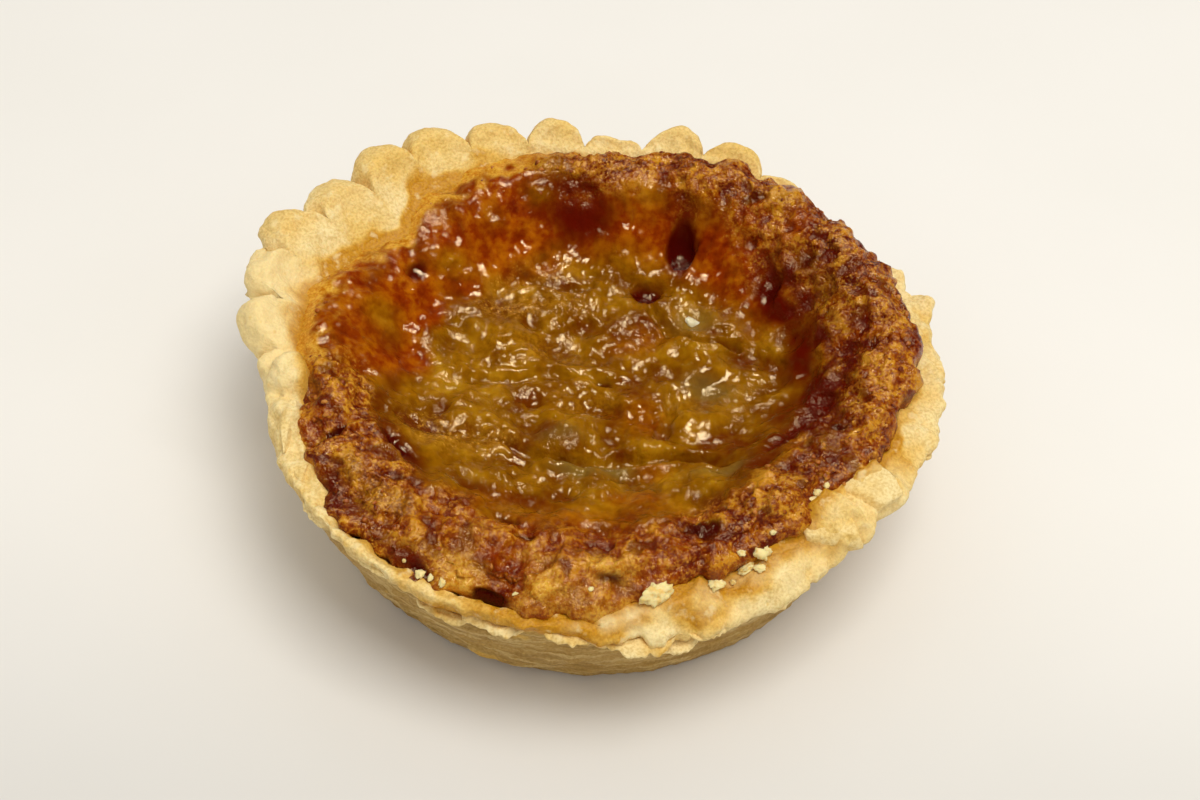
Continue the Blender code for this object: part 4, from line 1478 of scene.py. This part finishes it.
def build_crumbs():
    """Pale crumbs lying on the crust and on the rim."""
    tree = surface_tree("tart_shell", "tart_filling")
    draw = random.Random(11)
    builder = bmesh.new()
    for number, (x, y, half) in enumerate(CRUMB_PLACES):
        place, normal = drop_to(tree, x, y)
        add_block(
            builder, place + normal * half * 0.3 * MM, resting(normal, draw.uniform(0.0, math.tau)),
            (half, half * 0.8, half * 0.5), seed=100 + number, subdivisions=4 if half > 1.0 else 3,
            jag=0.42, corner=10.0, sides=11,
        )
    return lump_piece("pastry_crumbs", builder, crumb_material())


def build_chunks():
    """Blocks of broken pastry standing in the rim, as one mesh."""
    builder = bmesh.new()
    flat_top = ((0.0, 0.0, 1.0), 0.52)
    steep_side = ((0.0, 1.0, 0.12), 0.66)
    for number, (azimuth, reach, height, *half_sizes, turn, lean) in enumerate(CHUNKS):
        angle = math.radians(azimuth)
        x = reach * math.cos(angle) + BASE_AT[0]
        y = reach * math.sin(angle) + BASE_AT[1]
        frame_of = Matrix.Rotation(angle + math.radians(turn), 3, "Z")
        frame_of = frame_of @ Matrix.Rotation(math.radians(lean), 3, "X")
        add_block(
            builder, Vector((x, y, height)) * MM, frame_of, half_sizes, seed=40 + number, subdivisions=5,
            jag=0.05, corner=18.0, sides=9, cuts=(flat_top, steep_side),
        )
    count = len(builder.verts)
    shares = {"wall": 0.0, "broken": 0.8, "soaked": 0.1, "browned": 0.0}
    masks = {name: np.full(count, share) for name, share in shares.items()}
    return lump_piece("pastry_chunks", builder, bpy.data.materials["torn_pastry"], masks)


def build_crust_bits():
    """Grains of sugared crust on the roughest sides of the filling."""
    tree = surface_tree("tart_filling")
    draw = random.Random(7)
    builder = bmesh.new()
    for number in range(sizes().crust_bits):
        azimuth = draw.choice((16.0, 16.0, -30.0, -148.0, 80.0)) + draw.gauss(0.0, 22.0)
        edge = float(around(RIM_ROWS, 4, azimuth))
        crest = float(around(CREST_ROWS, 2, azimuth))
        reach = min(edge + 0.2, crest + draw.gauss(0.8, 1.7))
        size = 0.16 + 0.30 * draw.random() ** 2
        x = reach * math.cos(math.radians(azimuth))
        y = reach * math.sin(math.radians(azimuth))
        place, normal = drop_to(tree, x, y)
        if place is None or normal.z < 0.2:
            continue
        add_block(
            builder, place, resting(normal, draw.uniform(0.0, math.tau)),
            (size, size * 0.8, size * 0.6), seed=number, subdivisions=2, jag=0.4,
        )
    return lump_piece("crust_bits", builder, crust_bit_material())


def flake_point(sheet, number, spread, across, along, layer):
    """A point of a torn flake: across from 0 at its root to 1, along from -1 to 1, layer 1 over, -1 under."""
    azimuth, outset, raise_by, length, width, tilt, curl = sheet
    fall = math.radians(tilt)
    angle = math.radians(azimuth) + along * spread
    here = math.degrees(angle)
    up = Vector((0.0, 0.0, 1.0))
    out = Vector((math.cos(angle), math.sin(angle), 0.0))
    forward = out * math.cos(fall) - up * math.sin(fall)
    lift = out * math.sin(fall) + up * math.cos(fall)
    hold = out * (float(around(RIM_ROWS, 1, here)) + outset)
    hold.z = float(around(RIM_ROWS, 2, here)) - FLAKE_HOLD + raise_by
    taper = math.sqrt(max(0.0, 1.0 - abs(along) ** 2.6))
    where = Vector((along * length * 0.5, number * 9.7, 0.3))
    torn = 0.95 + 0.45 * noise.noise(where * 0.35) + 0.28 * noise.noise(where * 1.1)
    torn += 0.13 * noise.noise(where * 2.6)
    step = width * across * taper * torn - FLAKE_HOLD
    thick = FLAKE_THIN + FLAKE_BODY * min(1.0, 3.0 * (1.0 - across)) * min(1.0, 4.0 * taper)
    wave = 0.35 * noise.noise(where + Vector((0, 0, across * 1.7)))
    return hold + forward * step + lift * (curl * across ** 2 + wave + layer * thick)


def flake_faces(start):
    """Faces of one closed flake whose upper grid starts at a point, followed by its lower grid."""
    rows, columns = FLAKE_GRID
    over = np.arange(rows * columns).reshape(rows, columns) + start
    under = over + rows * columns
    faces = []
    for row in range(rows - 1):
        for column in range(columns - 1):
            quad = ((row, column), (row, column + 1), (row + 1, column + 1), (row + 1, column))
            faces.append(tuple(int(over[at]) for at in reversed(quad)))
            faces.append(tuple(int(under[at]) for at in quad))
    rim = [(0, column) for column in range(columns)]
    rim += [(row, columns - 1) for row in range(1, rows)]
    rim += [(rows - 1, column) for column in range(columns - 2, -1, -1)]
    rim += [(row, 0) for row in range(rows - 2, 0, -1)]
    for here, after in zip(rim, rim[1:] + rim[:1]):
        faces.append(tuple(int(index) for index in (over[here], over[after], under[after], under[here])))
    return faces


def build_flakes():
    """Thin torn sheets of pastry along the broken rim."""
    rows, columns = FLAKE_GRID
    points = []
    faces = []
    for number, sheet in enumerate(FLAKE_SHEETS):
        faces += flake_faces(len(points))
        azimuth, length = sheet[0], sheet[3]
        spread = length * 0.5 / float(around(RIM_ROWS, 1, azimuth))
        for layer in (1.0, -1.0):
            for row in range(rows):
                for column in range(columns):
                    across = row / (rows - 1)
                    along = column / (columns - 1) * 2.0 - 1.0
                    points.append(flake_point(sheet, number, spread, across, along, layer))
    points = np.array([tuple(point) for point in points])
    azimuth, reach = polar(points)
    masks = {
        "wall": np.zeros(len(points)),
        "broken": np.ones(len(points)),
        "soaked": np.clip(0.8 * stain_share(azimuth, reach, points[:, 2]), 0.0, 0.6),
        "browned": np.zeros(len(points)),
    }
    return mesh_piece("torn_flakes", points, faces, pastry_material("torn_pastry", 0.0), masks)


def build_syrup_drop():
    tree = surface_tree("tart_filling")
    builder = bmesh.new()
    place, normal = drop_to(tree, *SYRUP_AT)
    add_block(
        builder, place, resting(normal, 0.2), SYRUP_HALF, seed=5, subdivisions=4, jag=0.2, corner=3.0
    )
    return lump_piece("syrup_drop", builder, syrup_material())


# the stage


def table_material():
    tone = colours()
    material, tree, shader = new_material("table")
    place = tree.nodes.new("ShaderNodeTexCoord")
    split = tree.nodes.new("ShaderNodeSeparateXYZ")
    tree.links.new(place.outputs["Object"], split.inputs["Vector"])
    # painted shade: the table darkens towards the front
    shade = level(tree, split.outputs["Y"], TABLE_SHADE_FROM, TABLE_SHADE_TO)
    shaded = tuple(channel * TABLE_SHADE for channel in tone.table)
    colour = blend(tree, shade, tone.table, shaded)
    field = noise_field(tree, 40.0, 3.0)
    mottled = ramp(tree, field, ((0.35, (1.0, 1.0, 1.0)), (0.65, (0.985, 0.985, 0.98))))
    tree.links.new(blend(tree, 1.0, colour, mottled, "MULTIPLY"), shader.inputs["Base Color"])
    shader.inputs["Roughness"].default_value = 0.6
    shader.inputs["Specular IOR Level"].default_value = 0.2
    return material


def build_table():
    half = TABLE_HALF
    mesh = bpy.data.meshes.new("table")
    corners = ((-half, -half, 0.0), (half, -half, 0.0), (half, half, 0.0), (-half, half, 0.0))
    mesh.from_pydata(corners, [], [(0, 1, 2, 3)])
    mesh.materials.append(table_material())
    add_object("table", mesh)


def build_light():
    """A soft sky that leaves no highlight, the key lamp and the small lamps that do."""
    world = bpy.data.worlds.new("studio")
    world.use_nodes = True
    background = world.node_tree.nodes["Background"]
    background.inputs["Color"].default_value = SKY_COLOUR
    background.inputs["Strength"].default_value = SKY_STRENGTH
    world.cycles_visibility.glossy = False
    bpy.context.scene.world = world
    for name, place, width, power, highlight in LAMPS:
        light = bpy.data.lights.new(name, "AREA")
        light.size = width
        light.energy = power
        light.color = LAMP_COLOUR
        lamp = add_object(name, light)
        lamp.location = place
        lamp.rotation_euler = (-Vector(place)).to_track_quat("-Z", "Y").to_euler()
        lamp.visible_glossy = highlight
        lamp.visible_diffuse = not highlight


def build_camera():
    tilt = math.radians(VIEW_ELEVATION)
    back = Vector((0.0, -math.cos(tilt), math.sin(tilt)))
    side = Vector((1.0, 0.0, 0.0))
    turn = Matrix((side, back.cross(side), back)).transposed().to_4x4()
    lens = bpy.data.cameras.new("camera")
    lens.lens = VIEW_LENS
    lens.sensor_width = SENSOR_WIDTH
    lens.clip_start = 0.01
    camera = add_object("camera", lens)
    place = (Vector(VIEW_TARGET) + back * VIEW_DISTANCE) * MM
    roll = Matrix.Rotation(math.radians(VIEW_ROLL), 4, "Z")
    camera.matrix_world = Matrix.Translation(place) @ turn @ roll
    bpy.context.scene.camera = camera


def build_stage():
    """Pale table, soft light from above and the right, and the camera."""
    build_table()
    build_light()
    build_camera()
    view = bpy.context.scene.view_settings
    view.view_transform = "Standard"
    view.look = "None"


# the operators


class TART_OT_shell(Operator):
    """Builds the scalloped pastry shell in place of its solid"""

    bl_idname = "tart.shell"
    bl_label = "Pastry shell"

    def execute(self, context):
        shell = build_shell()
        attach(shell, "root")
        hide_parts("pastry_shell")
        return {"FINISHED"}


class TART_OT_filling(Operator):
    """Builds the sunken filling in place of its solid"""

    bl_idname = "tart.filling"
    bl_label = "Filling"

    def execute(self, context):
        filling = build_filling()
        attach(filling, "root")
        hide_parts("filling")
        return {"FINISHED"}


class TART_OT_loose(Operator):
    """Adds the torn flakes, the broken chunks, the crumbs, the crust's grains and the drop of syrup"""

    bl_idname = "tart.loose"
    bl_label = "Crumbs and flakes"

    def execute(self, context):
        made = (
            (build_flakes(), "pastry"),
            (build_chunks(), "pastry"),
            (build_crumbs(), "pastry"),
            (build_crust_bits(), "filling"),
            (build_syrup_drop(), "filling"),
        )
        for piece, slot in made:
            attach(piece, "root")
        return {"FINISHED"}


class TART_OT_stage(Operator):
    """Sets the pale table, the lights and the camera"""

    bl_idname = "tart.stage"
    bl_label = "Table, light and camera"

    def execute(self, context):
        build_stage()
        return {"FINISHED"}


class TART_PT_panel(Panel):
    """Lists the tart's sizes, colours and steps"""

    bl_idname = "TART_PT_panel"
    bl_label = "Butter tart"
    bl_space_type = "VIEW_3D"
    bl_region_type = "UI"
    bl_category = "Tart"

    def draw(self, context):
        layout = self.layout
        for group in (context.scene.tart_sizes, context.scene.tart_colours):
            box = layout.box()
            for name in group.bl_rna.properties.keys():
                if name not in ("rna_type", "name"):
                    box.prop(group, name)
        for step in STEPS:
            layout.operator(step.bl_idname)


STEPS = (TART_OT_shell, TART_OT_filling, TART_OT_loose, TART_OT_stage)
CLASSES = (TartSizes, TartColours, *STEPS, TART_PT_panel)


def register():
    for kind in CLASSES:
        bpy.utils.register_class(kind)
    bpy.types.Scene.tart_sizes = PointerProperty(type=TartSizes)
    bpy.types.Scene.tart_colours = PointerProperty(type=TartColours)


def unregister():
    del bpy.types.Scene.tart_colours
    del bpy.types.Scene.tart_sizes
    for kind in reversed(CLASSES):
        bpy.utils.unregister_class(kind)


def main():
    register()
    bpy.ops.tart.shell()
    bpy.ops.tart.filling()
    bpy.ops.tart.loose()
    bpy.ops.tart.stage()


if __name__ == "__main__":
    main()
